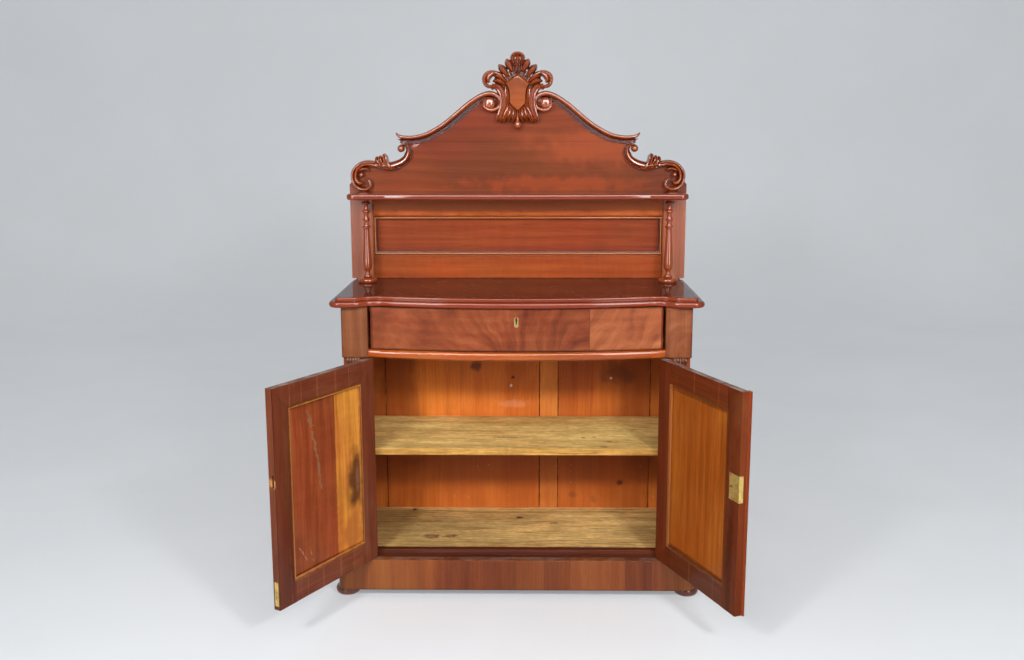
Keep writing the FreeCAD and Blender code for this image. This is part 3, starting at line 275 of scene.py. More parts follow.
def woodPaint(name, **changes):
    look = SimpleNamespace(**{**plainWood, **changes})
    paint = Paint(name)
    place = paint.place(look.centre, look.turn)
    flat = paint.place(*look.flat)
    board = place + paint.drift(place, 2.2, 1) * look.wander * (1, 1, 0)
    tone, streak, band = woodTone(paint, look, place, board, flat)
    stops = [(0, times(look.tone, look.deep)), (0.5, look.tone), (1, times(look.tone, look.pale))]
    colour = paint.node("ValToRGB", {"stops": stops}, {"Fac": tone})
    for i, (size, tint, share) in enumerate(look.patches):
        cloud = paint.noise(place * (1, 1, 0.55) + (3.1 * i, 1.7 * i, 0), size, 3).step(0.4, 0.66)
        colour = paint.mix(colour, colour * tint, cloud * share)
    pores = paint.noise(board * (1, 1, 0.03), allWood.poreSize, 1).step(0.6, 0.72)
    colour = paint.mix(colour, colour * allWood.poreTint, pores * look.pore)
    line = paint.noise(board * (1, 1, 0.016), look.lineSize, 3, 0.6).step(0.54, 0.68)
    colour = paint.mix(colour, colour * allWood.lineTint, line * look.lines)
    colour = markedWood(paint, look, colour, place, flat)
    if look.specks:
        spots = paint.node("TexVoronoi", {}, {"Vector": place, "Scale": allWood.speckSize}, "Distance")
        chosen = paint.noise(place, 13, 2).step(0.52, 0.6)
        colour = paint.mix(colour, allWood.speckColour, (1 - spots.step(0.03, 0.09)) * chosen * look.specks)
    arris = paint.node("Attribute", {"attribute_name": "arris"}, {}, "Fac")
    worn = arris * paint.noise(place, 35, 3).step(0.35, 0.65)
    colour = paint.mix(colour, times(look.tone, look.arris), worn * look.arrisShare)
    facing = paint.node("NewGeometry", {}, {}, "Normal")
    upward = facing.part("Z")
    # painted light and shade: faces that don't look up, such as the noses, get their own tint, lighter on the
    # main top's nose and darker on the shelves' noses
    if look.nose:
        colour = paint.mix(colour, colour * look.nose, 1 - upward.step(0.8, 0.98))
    if look.grime:  # painted shade with dark wax in the carving's hollows, and a painted highlight with rubbed wear on the ridges
        hollow = paint.node("Attribute", {"attribute_name": "hollow"}, {}, "Fac")
        hollow = hollow * (1 - facing.part("Y").step(0.7, 0.9) * 0.6)  # less on the backs
        colour = paint.mix(colour, colour * allWood.waxAndShadeTint, hollow.step(0.22, 0.75) * look.grime)
        colour = paint.mix(colour, times(look.tone, look.ridge), (1 - hollow.step(0, 0.2)) * 0.5)
    smear = paint.noise(place, allWood.smearSize, 3, 0.6)
    rough = look.rough + (smear - 0.5) * (look.roughSpread * 2) + (streak - 0.5) * 0.1
    if look.dust:
        film = upward.step(0.75, 0.95) * paint.noise(place, 30, 4).step(0.3, 0.7) * look.dust
        colour = paint.mix(colour, allWood.dustColour, film)
        rough = rough + film * 0.4
    height = streak * 0.6 + (1 - pores) * 0.5 + band * 0.5
    if look.lumps:
        height = height + paint.noise(place, allWood.lumpSize, 2) * (1 - hollow.step(0.2, 0.8)) * look.lumps
    bump = paint.node("Bump", {}, {
        "Strength": look.relief, "Distance": allWood.reliefDepth, "Height": height})
    return paint.finish({
        "Base Color": colour, "Roughness": rough, "Normal": bump, "Coat Weight": look.coat,
        "Coat Roughness": look.coatRough, "Specular IOR Level": look.shine})


doors = {"left": ((-0.4455, -0.2035, 0), -119.2), "right": ((0.4455, -0.2035, 0), 112.2)}


def standing(door, lean=0):  # the coordinates of a board in an open door; it lies level with a lean of 90
    pivot, swing = doors[door]
    return {"centre": pivot, "turn": (0, lean, swing), "flat": (pivot, (0, 0, swing))}


level = (0, 90, 0)  # the turn of a board that runs from side to side
lyingFlat = ((0, 0, 0), (90, 0, 0))
frameMiddle, panelMiddle = 0.001, 0.0104  # how far in the doors' polished outside ends
greyCrack = (0.23, 0.135, 0.07)
darkStain = (0.09, 0.022, 0.01)
pine = dict(turn=level, flat=lyingFlat, streak=0.9, band=0.7, stretch=0.035, fine=260, rough=0.62, coat=0)
leftFrame = dict(
    coat=0.15, dust=0.8, arrisShare=0.7, lines=0.4,
    patches=((3, (0.62, 0.6, 0.66), 0.6), (9, (1.15, 1.5, 1.6), 0.5), (14, (0.7, 0.6, 0.6), 0.5)))

# a patch is a size, a tint and a share; a sheet runs from one x to another; a stain is x, z, half its width
# and height, a colour and a share; a crack runs from x, z to x, z; a border is x, x, z, z, reach and share
woods = {
    "crest_board": dict(
        turn=level, tone=(0.215, 0.028, 0.005), coat=0.5, coatRough=0.12, streak=0.2, band=0.2,
        patches=((1.9, (0.55, 0.66, 0.8), 0.8), (3.1, (1.25, 1.8, 1.3), 0.6), (6, (0.85, 1.1, 1.1), 0.5)),
        stains=((0.26, 1.37, 0.24, 0.07, (0.46, 0.085, 0.02), 0.45),
            (0.12, 1.25, 0.35, 0.03, (0.4, 0.06, 0.01), 0.4)), borders=((-2, 2, 1.385, 3, 0.0014, 0.5),)),
    "gallery_panel": dict(
        turn=level, tone=(0.285, 0.038, 0.006), ring=0.15, curl=0.1, curlSize=25, coat=0.6, lines=0.4,
        borders=((-0.4605, 0.4605, 1.0275, 1.133, 0.004, 0.85),)),
    "gallery_rails": dict(
        turn=level, tone=(0.36, 0.058, 0.008), curl=0.1, curlSize=90,
        # the stain lightens the upper rail under the shelf: a painted pool of light
        stains=((0, 1.18, 1.2, 0.05, (0.62, 0.14, 0.035), 0.7),),
        borders=((-0.474, 0.474, 1.014, 1.1465, 0.003, 0.95), (-0.474, 0.474, 0.94, 1.207, 0.006, 0.7))),
    "gallery_bead": dict(turn=level, tone=(0.36, 0.066, 0.011), ridge=(1.8, 3, 1.5), coat=1, grime=1, pore=0.1),
    "gallery_stiles": dict(
        tone=(0.28, 0.06, 0.02), coat=0.6, coatRough=0.2, sheets=((0.474, 0.6, (1.2, 1.4, 1.7)),),
        borders=((-0.474, 0.474, 0.9, 1.3, 0.003, 0.7),)),
    "gallery_shelf": dict(
        turn=level, tone=(0.22, 0.034, 0.006), coat=1, coatRough=0.07, nose=(0.95, 0.8, 0.7),
        patches=((2.6, (0.75, 0.7, 0.75), 0.5),)),
    "cartouche": dict(
        turn=level, tone=(0.225, 0.032, 0.005), fine=110, coat=0.5, coatRough=0.06, rough=0.14,
        roughSpread=0.05, shine=0.7, pore=0.15, relief=0.8, lumps=1.4, grime=0.95,
        patches=((9, (0.55, 0.45, 0.7), 0.7), (16, (1.6, 2.2, 1.3), 0.6))),
    "shield": dict(
        turn=level, tone=(0.32, 0.062, 0.009), coat=1, coatRough=0.05, grime=0.95, relief=0.5,
        patches=((12, (0.5, 0.42, 0.42), 0.8), (25, (1.4, 1.7, 1.2), 0.5))),
    "corbels": dict(
        tone=(0.22, 0.085, 0.05), ridge=(1.4, 1.5, 1.5), fine=110, coat=0.2, pore=0.15, relief=0.1, grime=0.9,
        dust=1),
    "column": dict(tone=(0.26, 0.036, 0.006), coat=1, coatRough=0.05, pore=0.15, relief=0.1),
    "bun_feet": dict(tone=(0.17, 0.034, 0.011), coat=0.9, dust=0.4),
    "main_top": dict(
        turn=level, tone=(0.06, 0.006, 0.0008), coat=0.6, coatRough=0.05, relief=0.03, pore=0.2,
        nose=(3.7, 4.4, 5), patches=((2.4, (0.75, 0.8, 0.9), 0.5), (3.5, (1.1, 1.6, 1.6), 0.4))),
    "frieze_block": dict(
        tone=(0.215, 0.058, 0.02), curl=0.15, curlSize=38, ring=0.2,
        flames=((0.3, 0.6, 0.535, 0.742, 0.8, 26, 0.8),), borders=((-0.52, 0.52, 0.757, 0.912, 0.006, 0.7),)),
    "drawer_front": dict(
        turn=level, tone=(0.25, 0.044, 0.011), streak=0.12, band=0.1, coatRough=0.13, relief=0.06,
        flames=((-0.6, 0.215, 0.02, 0.7, 5, 7, 1.1), (0.215, 0.6, 0.17, 0.7, 6, 5, 0.9)),
        # the right sheet's lighter, greyer tint is its own veneer tone with a painted sheen
        sheets=((-0.4285, 0.215, (0.9, 0.92, 0.95)), (0.215, 0.4285, (1.4, 1.95, 2.3)),
            (0.4285, 0.5, (0.8, 0.62, 0.6)), (-0.5, -0.4285, (0.8, 0.62, 0.6))),
        borders=((-0.6, 0.215, 0, 2, 0.0012, 0.8), (-0.4285, 0.4285, 0, 2, 0.0025, 0.8),
            (-0.6, 0.6, 0.7845, 0.9095, 0.005, 0.8))),
    "drawer_rail": dict(turn=level, tone=(0.41, 0.07, 0.004), coat=0.8, coatRough=0.07, relief=0.05),
    "side": dict(tone=(0.26, 0.046, 0.011)),
    "plinth_front": dict(
        tone=(0.215, 0.045, 0.008), blocks=(0.083, 0.5), band=0.5, bandSize=10, dust=0.3,
        borders=((-0.7, 0.7, 0.03, 0.5, 0.006, 0.8),)),
    "floor_lipping": dict(turn=level, tone=(0.11, 0.022, 0.008), coat=0.8),
    "back_boards": dict(
        tone=(0.64, 0.165, 0.024), deep=(0.55, 0.42, 0.32), pale=(1.3, 1.6, 1.9),
        patches=((2.2, (0.6, 0.48, 0.38), 0.65), (4, (1.05, 1.25, 1.2), 0.5)), bandSize=14, shine=0.15, coat=0,
        rough=0.6, specks=0.45, relief=0.3, streak=0.3, band=0.35,
        sheets=((0.073, 0.136, (1.05, 1.25, 1.6)), (0.136, 0.447, (0.78, 0.72, 0.8)),
            (-0.6, -0.448, (1, 1.1, 1.2))),
        borders=((-0.448, 0.073, 0, 2, 0.0035, 0.98), (0.136, 0.447, 0, 2, 0.003, 0.95)),
        # the first three stains are painted shade: darker at the left and right edges, and low down under the
        # shelf
        stains=((-0.42, 0.6, 0.13, 0.4, (0.19, 0.034, 0.006), 0.7),
            (0, 0.29, 0.9, 0.18, (0.27, 0.055, 0.009), 0.65), (0.42, 0.62, 0.1, 0.4, (0.2, 0.042, 0.008), 0.5),
            (-0.14, 0.641, 0.022, 0.02, (0.1, 0.03, 0.012), 0.8), (-0.016, 0.599, 0.007, 0.007, darkStain, 0.9),
            (0.187, 0.188, 0.018, 0.018, (0.22, 0.06, 0.015), 0.8),
            (0.348, 0.229, 0.014, 0.012, darkStain, 0.9), (0.258, 0.171, 0.02, 0.016, (0.25, 0.07, 0.018), 0.6),
            (0.344, 0.616, 0.07, 0.05, darkStain, 0.6), (-0.011, 0.508, 0.06, 0.016, (0.74, 0.36, 0.2), 0.25),
            (-0.023, 0.57, 0.005, 0.006, (0.8, 0.7, 0.6), 0.9),
            (0.313, 0.597, 0.006, 0.005, (0.7, 0.6, 0.5), 0.9))),
    "shelf": dict(
        **pine, tone=(0.98, 0.68, 0.24), deep=(0.52, 0.47, 0.42), pale=(1.2, 1.32, 1.5),
        patches=((3.4, (0.62, 0.56, 0.5), 0.7), (13, (0.66, 0.58, 0.5), 0.5), (70, (0.62, 0.57, 0.5), 0.4),
            (110, (1.3, 1.35, 1.4), 0.35)), bandSize=22, lines=0.55, lineSize=210, nose=(0.62, 0.48, 0.33),
        arris=(1.2, 1.3, 1.4), arrisShare=0.6,
        stains=((0.21, 0.055, 0.011, 0.006, (0.15, 0.07, 0.03), 0.9),
            (0.243, 0.047, 0.01, 0.006, (0.18, 0.09, 0.04), 0.8),
            (0.287, 0.096, 0.012, 0.007, (0.16, 0.08, 0.03), 0.8),
            (0.266, 0.153, 0.016, 0.012, (0.25, 0.13, 0.05), 0.7),
            (-0.025, 0.053, 0.06, 0.012, (0.22, 0.12, 0.05), 0.6),
            (-0.023, 0.172, 0.01, 0.006, (0.9, 0.7, 0.35), 0.9))),
    "floor_board": dict(
        **pine, tone=(0.95, 0.62, 0.23), deep=(0.45, 0.4, 0.36), pale=(1.25, 1.4, 1.55),
        patches=((3.1, (0.52, 0.5, 0.48), 0.8), (11, (0.62, 0.58, 0.54), 0.55), (65, (0.62, 0.58, 0.52), 0.4),
            (100, (1.3, 1.35, 1.4), 0.35)), bandSize=26, lines=0.9, lineSize=190,
        stains=((-0.276, 0.068, 0.03, 0.022, (0.13, 0.055, 0.03), 0.85),
            (-0.213, 0.067, 0.026, 0.018, (0.13, 0.055, 0.03), 0.85),
            (-0.276, 0.068, 0.014, 0.01, (0.4, 0.22, 0.09), 0.9),
            (-0.213, 0.067, 0.012, 0.008, (0.38, 0.2, 0.08), 0.9),
            (0.007, -0.107, 0.014, 0.014, (0.07, 0.03, 0.02), 0.95),
            (-0.353, -0.18, 0.01, 0.012, (0.05, 0.02, 0.01), 0.9),
            (0.122, -0.055, 0.018, 0.008, (0.14, 0.06, 0.03), 0.8),
            (0.26, 0.16, 0.16, 0.02, (0.16, 0.09, 0.05), 0.6))),
    "inside_pine": dict(turn=level, tone=(0.5, 0.29, 0.11), rough=0.65, coat=0),
    "left_door_stiles": dict(
        **standing("left"), **leftFrame, tone=(0.158, 0.036, 0.015),
        sheets=((0.4447, 0.6, (2.2, 3, 2.6)), (0.442, 0.4443, (0.4, 0.35, 0.35))),
        outside=(frameMiddle, (1.7, 1.2, 0.8)),
        cracks=((0.392, 0.1, 0.396, 0.3, 0.001, (0.34, 0.14, 0.07), 0.5),),
        stains=((0.448, 0.493, 0.006, 0.018, (0.62, 0.3, 0.09), 0.9),)),
    "left_door_rails": dict(
        **standing("left", 90), **leftFrame, tone=(0.18, 0.042, 0.017), outside=(frameMiddle, (1.5, 1.1, 0.7)),
        sheets=((0.1175, 0.119, (1.7, 2.4, 2.8)), (0.1085, 0.1093, (1.5, 2, 2.2)),
            (0.354, 0.3548, (1.6, 2.2, 2.4)), (0.255, 0.262, (1.35, 1.5, 1.5)), (0.325, 0.327, (1.6, 2.2, 2.4)),
            (0.175, 0.183, (1.3, 1.45, 1.4)))),
    "left_door_panel": dict(
        **standing("left"), tone=(0.31, 0.064, 0.02), coat=0.15, lines=0.5, ring=0.15, streak=0.3, band=0.35,
        curl=0.08,
        patches=((3.2, (0.5, 0.46, 0.5), 0.8), (5, (1.35, 1.75, 1.2), 0.6), (11, (0.75, 0.7, 0.7), 0.5)),
        sheets=((0, 0.18, (2.25, 3.6, 2)),), outside=(panelMiddle, (0.95, 0.75, 0.5)),
        stains=((0.086, 0.4, 0.05, 0.105, (0.09, 0.026, 0.012), 0.92),
            (0.11, 0.25, 0.05, 0.08, (0.36, 0.1, 0.028), 0.7),
            (0.082, 0.405, 0.01, 0.045, (0.26, 0.14, 0.09), 0.45)),
        cracks=((0.291, 0.66, 0.27, 0.56, 0.0075, greyCrack, 0.7),
            (0.27, 0.575, 0.246, 0.42, 0.005, greyCrack, 0.75),
            (0.352, 0.275, 0.318, 0.232, 0.0026, (0.36, 0.22, 0.14), 0.8),
            (0.306, 0.262, 0.29, 0.216, 0.0016, (0.42, 0.24, 0.15), 0.8),
            (0.178, 0.2, 0.181, 0.7, 0.001, (0.1, 0.03, 0.012), 0.8)),
        borders=((0.066, 0.372, 0.201, 0.682, 0.005, 0.8),)),
    "left_door_beads": dict(
        flat=standing("left")["flat"], tone=(0.44, 0.14, 0.032), outside=(panelMiddle, (0.6, 0.4, 0.3)),
        coat=0.2, arris=(1.4, 1.8, 2),
        borders=((0.057, 0.381, 0.192, 0.691, 0.0055, 1), (0.068, 0.37, 0.203, 0.68, 0.005, 0.9))),
    "right_door_stiles": dict(
        **standing("right"), tone=(0.125, 0.021, 0.005), rough=0.6, coat=0.05, dust=0.8, lines=0.4,
        sheets=((-0.6, -0.4447, (1.55, 1.2, 0.8)),), outside=(frameMiddle, (2.1, 2, 2)),
        stains=((-0.408, 0.3, 0.018, 0.3, (0.055, 0.012, 0.004), 0.7),
            (-0.425, 0.7, 0.03, 0.07, (0.2, 0.055, 0.018), 0.4))),
    "right_door_rails": dict(
        **standing("right", 90), tone=(0.135, 0.023, 0.006), outside=(frameMiddle, (2, 2, 2)), coat=0.15,
        dust=0.8, lines=0.4,
        sheets=((-0.205, -0.198, (1.5, 1.8, 2)), (-0.332, -0.328, (1.5, 1.8, 2)),
            (-0.104, -0.102, (1.4, 1.7, 2)))),
    "right_door_panel": dict(
        **standing("right"), tone=(0.33, 0.076, 0.008), ring=0.08, streak=0.45, lines=0.45, coat=0.1,
        patches=((5, (0.72, 0.7, 0.8), 0.5), (6, (1.2, 1.45, 1.5), 0.6)),
        outside=(panelMiddle, (0.9, 0.6, 1.2)), borders=((-0.366, -0.073, 0.202, 0.678, 0.004, 0.7),)),
    "right_door_beads": dict(
        flat=standing("right")["flat"], tone=(0.17, 0.038, 0.009), outside=(panelMiddle, (1.4, 1.2, 1)),
        coat=0.15, arris=(2.2, 3, 3.4), sheets=((-0.078, 0, (2.2, 3.2, 3.6)),)),
    "right_door_astragal": dict(tone=(0.24, 0.034, 0.006), dust=0.5, coat=0.1),
}
finishes = {name: woodPaint(name.replace("_", " "), **changes) for name, changes in woods.items()}


def metalPaint(name, bright, dull, rough, keyhole=()):
    paint = Paint(name)
    place = paint.place()
    tarnish = paint.noise(place, 45, 4, 0.65).step(0.35, 0.7)
    # the keyhole is painted near black: painted shade standing for the hole
    for x, z, wide, tall in keyhole:
        hole = 1 - ((place - (x, 0, z)) * (1 / wide, 0, 1 / tall)).length().step(0.9, 1)
        bright, dull = (paint.mix(colour, (0.012, 0.009, 0.006), hole) for colour in (bright, dull))
    scratch = paint.noise(place * (1, 1, 9), 700, 1)
    colour = paint.mix(bright, dull, tarnish)
    bump = paint.node("Bump", {}, {"Strength": 0.3, "Distance": 0.0002, "Height": scratch})
    metal = 1 - tarnish * 0.35
    return paint.finish({
        "Base Color": colour, "Metallic": metal, "Roughness": rough + tarnish * 0.25, "Normal": bump})


finishes["brass"] = metalPaint("tarnished brass", (0.76, 0.56, 0.17), (0.4, 0.3, 0.09), 0.36)
finishes["escutcheon"] = metalPaint(
    "worn escutcheon brass", (0.46, 0.31, 0.12), (0.2, 0.14, 0.05), 0.32,
    ((0, 0.88, 0.0032, 0.005), (0, 0.873, 0.002, 0.0065)))
finishes["steel"] = metalPaint("dull steel", (0.45, 0.42, 0.38), (0.16, 0.1, 0.07), 0.42)
print("finishes made:", len(finishes))

finishOfSlot = {
    "mahogany": "side", "flame_veneer": "drawer_front", "interior_wood": "inside_pine", "brass": "brass",
    "steel": "steel",
}
finishOf = {name: name if name in finishes else finishOfSlot[slot] for name, slot in slotOf.items()}
finishOf |= {"plinth_sides": "plinth_front", "plinth_back": "side", "base_rails": "floor_lipping"}
for side, word in sides:
    finishOf |= {
        f"frieze_block_{word}": "frieze_block", f"column_{word}": "column", f"crest_rail_{word}": "cartouche",
        f"crest_scroll_{word}": "cartouche",
    }
for name, node in nodes.items():
    node.material_slots[0].material = finishes[finishOf[name]]


def addPiece(name, mesh, finish, body, replaced):
    if not mesh.materials:
        mesh.materials.append(finishes[finish])
    piece = linked(name, mesh)
    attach(piece, body)
    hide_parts(*replaced)


def shadeByAngle(mesh, degrees):
    mesh.shade_smooth()
    mesh.set_sharp_from_angle(angle=radians(degrees))


def cutPiece(name, work, replaced, finish="cartouche", shade=42, mesh=None):
    bmesh.ops.recalc_face_normals(work, faces=work.faces)
    mesh = mesh or bpy.data.meshes.new(name)
    work.to_mesh(mesh)
    work.free()
    shadeByAngle(mesh, shade)
    addPiece(name, mesh, finish, "root", replaced)


# boards: copies of the flat pieces with their arrises eased

easing = {
    "sharp": 40, "tooSmall": 30e-6, "shade": 28,
    "widths": {
        "plinth_front": 1.6, "plinth_sides": 1.6, "floor_lipping": 1, "shelf": 1.6, "side_left": 1,
        "side_right": 1, "pilasters": 1.2, "frieze_block_left": 1.6, "frieze_block_right": 1.6,
        "gallery_stiles": 1.4, "gallery_rails": 0.8, "crest_board": 1.4, "left_door_stiles": 0.9,
        "left_door_rails": 0.9, "right_door_stiles": 0.9, "right_door_rails": 0.9,
        "right_door_astragal": 1.2, "back_boards": 0.8, "drawer_sides": 1, "base_rails": 1,
    },
}


def easedBoard(name, width):
    work = bmesh.new()
    work.from_mesh(nodes[name].data)
    bmesh.ops.remove_doubles(work, verts=work.verts, dist=0.01 * mm)
    bmesh.ops.dissolve_limit(work, angle_limit=radians(1), verts=work.verts, edges=work.edges)
    worn = work.faces.layers.float.new("arris")
    sharp = radians(easing["sharp"])
    arrises = [
        edge for edge in work.edges
        if edge.is_manifold and edge.is_convex and edge.calc_face_angle(0) > sharp
        and min(face.calc_area() for face in edge.link_faces) > easing["tooSmall"]
    ]
    eased = bmesh.ops.bevel(
        work, geom=arrises, offset=width * mm, segments=1, affect="EDGES", clamp_overlap=True)
    for face in eased["faces"]:
        face[worn] = 1
    mesh = bpy.data.meshes.new(name + "_eased")
    work.to_mesh(mesh)
    work.free()
    shadeByAngle(mesh, easing["shade"])
    addPiece(name + "_eased", mesh, finishOf[name], bodyOf[name], [name])


for name, width in easing["widths"].items():
    easedBoard(name, width)
print("boards eased")


# turning: an outline of (height, radius) in mm, swept round by a node tree and set on a grid of places

class Tree:  # one geometry node tree with named inputs
    def __init__(self, name, inputs):
        self.tree = bpy.data.node_groups.new(name, "GeometryNodeTree")
        face = self.tree.interface
        face.new_socket("Geometry", in_out="OUTPUT", socket_type="NodeSocketGeometry")
        face.new_socket("Geometry", in_out="INPUT", socket_type="NodeSocketGeometry")
        self.keys = {}
        for label, kind in inputs.items():
            socket = face.new_socket(label, in_out="INPUT", socket_type="NodeSocket" + kind)
            self.keys[label] = socket.identifier
        self.given = self.tree.nodes.new("NodeGroupInput").outputs

    def node(self, kind, sockets):
        made = self.tree.nodes.new("GeometryNode" + kind)
        for key, value in sockets.items():
            socket = made.inputs[key]
            if isinstance(value, bpy.types.NodeSocket):
                self.tree.links.new(value, socket)
            else:
                socket.default_value = value
        return made.outputs[0]

    def close(self, geometry):
        out = self.tree.nodes.new("NodeGroupOutput")
        self.tree.links.new(geometry, out.inputs[0])

    def run(self, source, values):  # the finished plain mesh
        holder = linked(self.tree.name, source)
        modifier = holder.modifiers.new(self.tree.name, "NODES")
        modifier.node_group = self.tree
        for label, value in values.items():
            modifier[self.keys[label]] = value
        made = bpy.data.meshes.new_from_object(holder.evaluated_get(bpy.context.evaluated_depsgraph_get()))
        holder.modifiers.remove(modifier)
        bpy.data.objects.remove(holder)
        return made


def turningTree():
    tree = Tree("turning", {
        "Sides": "Int", "Across": "Int", "Deep": "Int", "Spread X": "Float", "Spread Y": "Float",
        "Place": "Vector", "Finish": "Material",
    })
    given = tree.given
    line = tree.node("MeshToCurve", {"Mesh": given["Geometry"]})
    radius = tree.node("InputNamedAttribute", {"Name": "radius"})
    circle = tree.node("CurvePrimitiveCircle", {"Resolution": given["Sides"], "Radius": 1})
    shape = tree.node("CurveToMesh", {
        "Curve": line, "Profile Curve": circle, "Scale": radius, "Fill Caps": True})
    spots = tree.node("MeshGrid", {
        "Size X": given["Spread X"], "Size Y": given["Spread Y"], "Vertices X": given["Across"],
        "Vertices Y": given["Deep"]})
    placed = tree.node("InstanceOnPoints", {"Points": spots, "Instance": shape})
    whole = tree.node("RealizeInstances", {"Geometry": placed})
    moved = tree.node("Transform", {"Geometry": whole, "Translation": given["Place"]})
    tree.close(tree.node("SetMaterial", {"Geometry": moved, "Material": given["Finish"]}))
    return tree


def turned(name, outline, values, finish, replaced):
    source = bpy.data.meshes.new(name + "_outline")
    source.from_pydata([(0, 0, z * mm) for z, r in outline], [(i, i + 1) for i in range(len(outline) - 1)], [])
    radius = source.attributes.new("radius", "FLOAT", "POINT")
    radius.data.foreach_set("value", [r * mm for z, r in outline])
    mesh = turning.run(source, {"Sides": 56, "Across": 2, **values, "Finish": finishes[finish]})
    work = bmesh.new()
    work.from_mesh(mesh)
    cutPiece(name, work, replaced, finish, 38, mesh)


def ring(middle, half, radius, root):  # a half round ring on a turned outline
    return [(middle + half * sin(a), root + (radius - root) * cos(a))
            for a in map(radians, range(-90, 91, 30))]


def turnedColumn(height):
    outline = [(0, 29.5)] + ring(6.5, 5.6, 31, 27.5) + [(13, 25.5), (14.2, 15)] + ring(19.6, 4.8, 14.8, 10.5)
    outline += [(25.5, 9), (31, 8), (37, 8.8), (40, 11.4), (43, 13.6), (49, 15), (57, 15.3), (70, 14.8)]
    outline += [(95, 13.2), (120, 11.6), (145, 10.2), (165, 9.2), (172, 8.8)] + ring(177.5, 4, 14.6, 9.2)
    outline += [(183, 8.6), (190, 7.8), (196, 8.6)] + ring(200.5, 3.4, 12.6, 8.8) + [(205.5, 8.2), (213, 7.2)]
    outline += [(220, 8.2)] + ring(227, 4.8, 13.4, 8.6) + [(233.5, 7.6), (240, 6.6), (246, 7.4)]
    outline += ring(253, 4.4, 14.2, 8.8) + [(259, 10.5), (262, 12.2), (267, 13.4)]
    drawn = outline[-1][0]
    return [(z * (height / drawn), r) for z, r in outline]


turning = turningTree()
columnLow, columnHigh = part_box("main_top")[1].z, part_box("gallery_shelf")[0].z
columnLeft, columnRight = (sum(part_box("column_" + word), Vector()) / 2 for side, word in sides)
turned("gallery_columns", turnedColumn((columnHigh - columnLow) / mm), {
    "Deep": 1, "Spread X": columnRight.x - columnLeft.x,
    "Place": ((columnLeft.x + columnRight.x) / 2, columnLeft.y, columnLow),
}, "column", ["column_left", "column_right"])

feet = dict(radius=38, sole=25, neck=22, inset=2, bulge=0.46, fullness=0.8)
feetLow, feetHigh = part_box("bun_feet")
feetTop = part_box("plinth_front")[0].z / mm
bun = [(0, feet["sole"] - 3), (1.2, feet["sole"])]
bun += [
    (feetTop * (0.5 - feet["bulge"] * cos(a)),
     feet["sole"] + (feet["radius"] - feet["sole"]) * sin(a) ** feet["fullness"])
    for a in map(radians, range(12, 169, 13))]
bun += [(feetTop, feet["neck"]), (feetHigh.z / mm - feet["inset"], feet["neck"])]
turned("turned_feet", bun, {
    "Deep": 2, "Spread X": feetHigh.x - feetLow.x - 2 * feet["radius"] * mm,
    "Spread Y": feetHigh.y - feetLow.y - 2 * feet["radius"] * mm, "Place": (0, 0, 0),
}, "bun_feet", ["bun_feet"])
print("columns and feet turned")


# carving: strokes drawn in mm, x from the middle and z above the crest board's foot, risen from its face

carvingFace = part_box("crest_board")[0].y / mm
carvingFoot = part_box("crest_board")[0].z / mm
carvingSunk = 0.6  # how far the back of the carving lies inside the board's face


def crestPoint(x, z, rise):
    return Vector((x, carvingFace + carvingSunk - rise, carvingFoot + z)) * mm


def fullStation(station):  # one distance stands for both edges alike
    x, z, *edges, rise = station
    return (x, z, -edges[0], edges[-1], rise) if len(edges) == 1 else station


def smoothRun(stations, step):  # runs through the stations, with all their values
    run = []
    last = len(stations) - 1
    for i in range(last):
        four = [stations[max(0, min(last, j))] for j in (i - 1, i, i + 1, i + 2)]
        count = max(2, round(dist(four[1][:2], four[2][:2]) / step))
        for k in range(count):
            t = k / count
            run.append([
                (2 * q + (r - p) * t + (2 * p - 5 * q + 4 * r - s) * t ** 2
                 + (3 * q - p - 3 * r + s) * t ** 3) / 2
                for p, q, r, s in zip(*four)])
    run.append(list(stations[-1]))
    return run


def addRow(work, spots):  # a spot is a place and how deep in painted shade it lies
    hollow = work.verts.layers.float.get("hollow") or work.verts.layers.float.new("hollow")
    row = [work.verts.new(place) for place, hollowShade in spots]
    for vertex, (place, hollowShade) in zip(row, spots):
        vertex[hollow] = hollowShade
    return row


def joinRows(work, rows):
    count = len(rows[0])
    for a, b in zip(rows, rows[1:]):
        for j in range(count):
            k = (j + 1) % count
            work.faces.new((a[j], a[k], b[k], b[j]))


def stroke(work, stations, section, side=1, step=2.5, place=crestPoint, hollowShade=0):
    # a station is x, z, the two edges' distances from the line, and the rise; a section point is a share
    # of the way from the first edge to the second, and a share of the rise
    # a row's hollow value is how deep in painted shade it lies: deeper the lower it rises, and never less than
    # the least depth given
    run = smoothRun([fullStation(station) for station in stations], step)
    rows = []
    for i, (x, z, low, high, rise) in enumerate(run):
        before, after = run[max(0, i - 1)], run[min(len(run) - 1, i + 1)]
        tx, tz = after[0] - before[0], after[1] - before[1]
        length = hypot(tx, tz)
        rows.append(addRow(work, [
            (place(side * (x - tz / length * off), z + tx / length * off, up * rise), max(1 - up, hollowShade))
            for off, up in ((low + (high - low) * share, up) for share, up in sections[section])]))
    joinRows(work, rows)
    work.faces.new(rows[0])
    work.faces.new(rows[-1])


def dome(work, x, z, radius, foot, rise, side=1, tall=1, rings=7, spots=30, place=crestPoint):
    slopes = [pi / 2 * k / rings for k in range(rings)]
    turns = [tau * i / spots for i in range(spots)]
    rows = []
    # the dome's foot lies deepest in painted shade, its top in none
    for reach, up in [(1, 0)] + [(cos(a), foot + (rise - foot) * sin(a)) for a in slopes]:
        wide, high = radius * reach, radius * tall * reach
        rows.append(addRow(work, [
            (place(side * (x + wide * cos(a)), z + high * sin(a), up), 1 - up / rise)
            for a in turns]))
    top, = addRow(work, [(place(side * x, z, rise), 0)])
    joinRows(work, rows)
    for j in range(spots):
        work.faces.new((rows[-1][j], rows[-1][(j + 1) % spots], top))
    work.faces.new(rows[0])


def mirrored(half):
    return half + [(1 - share, up) for share, up in half[-2::-1]]


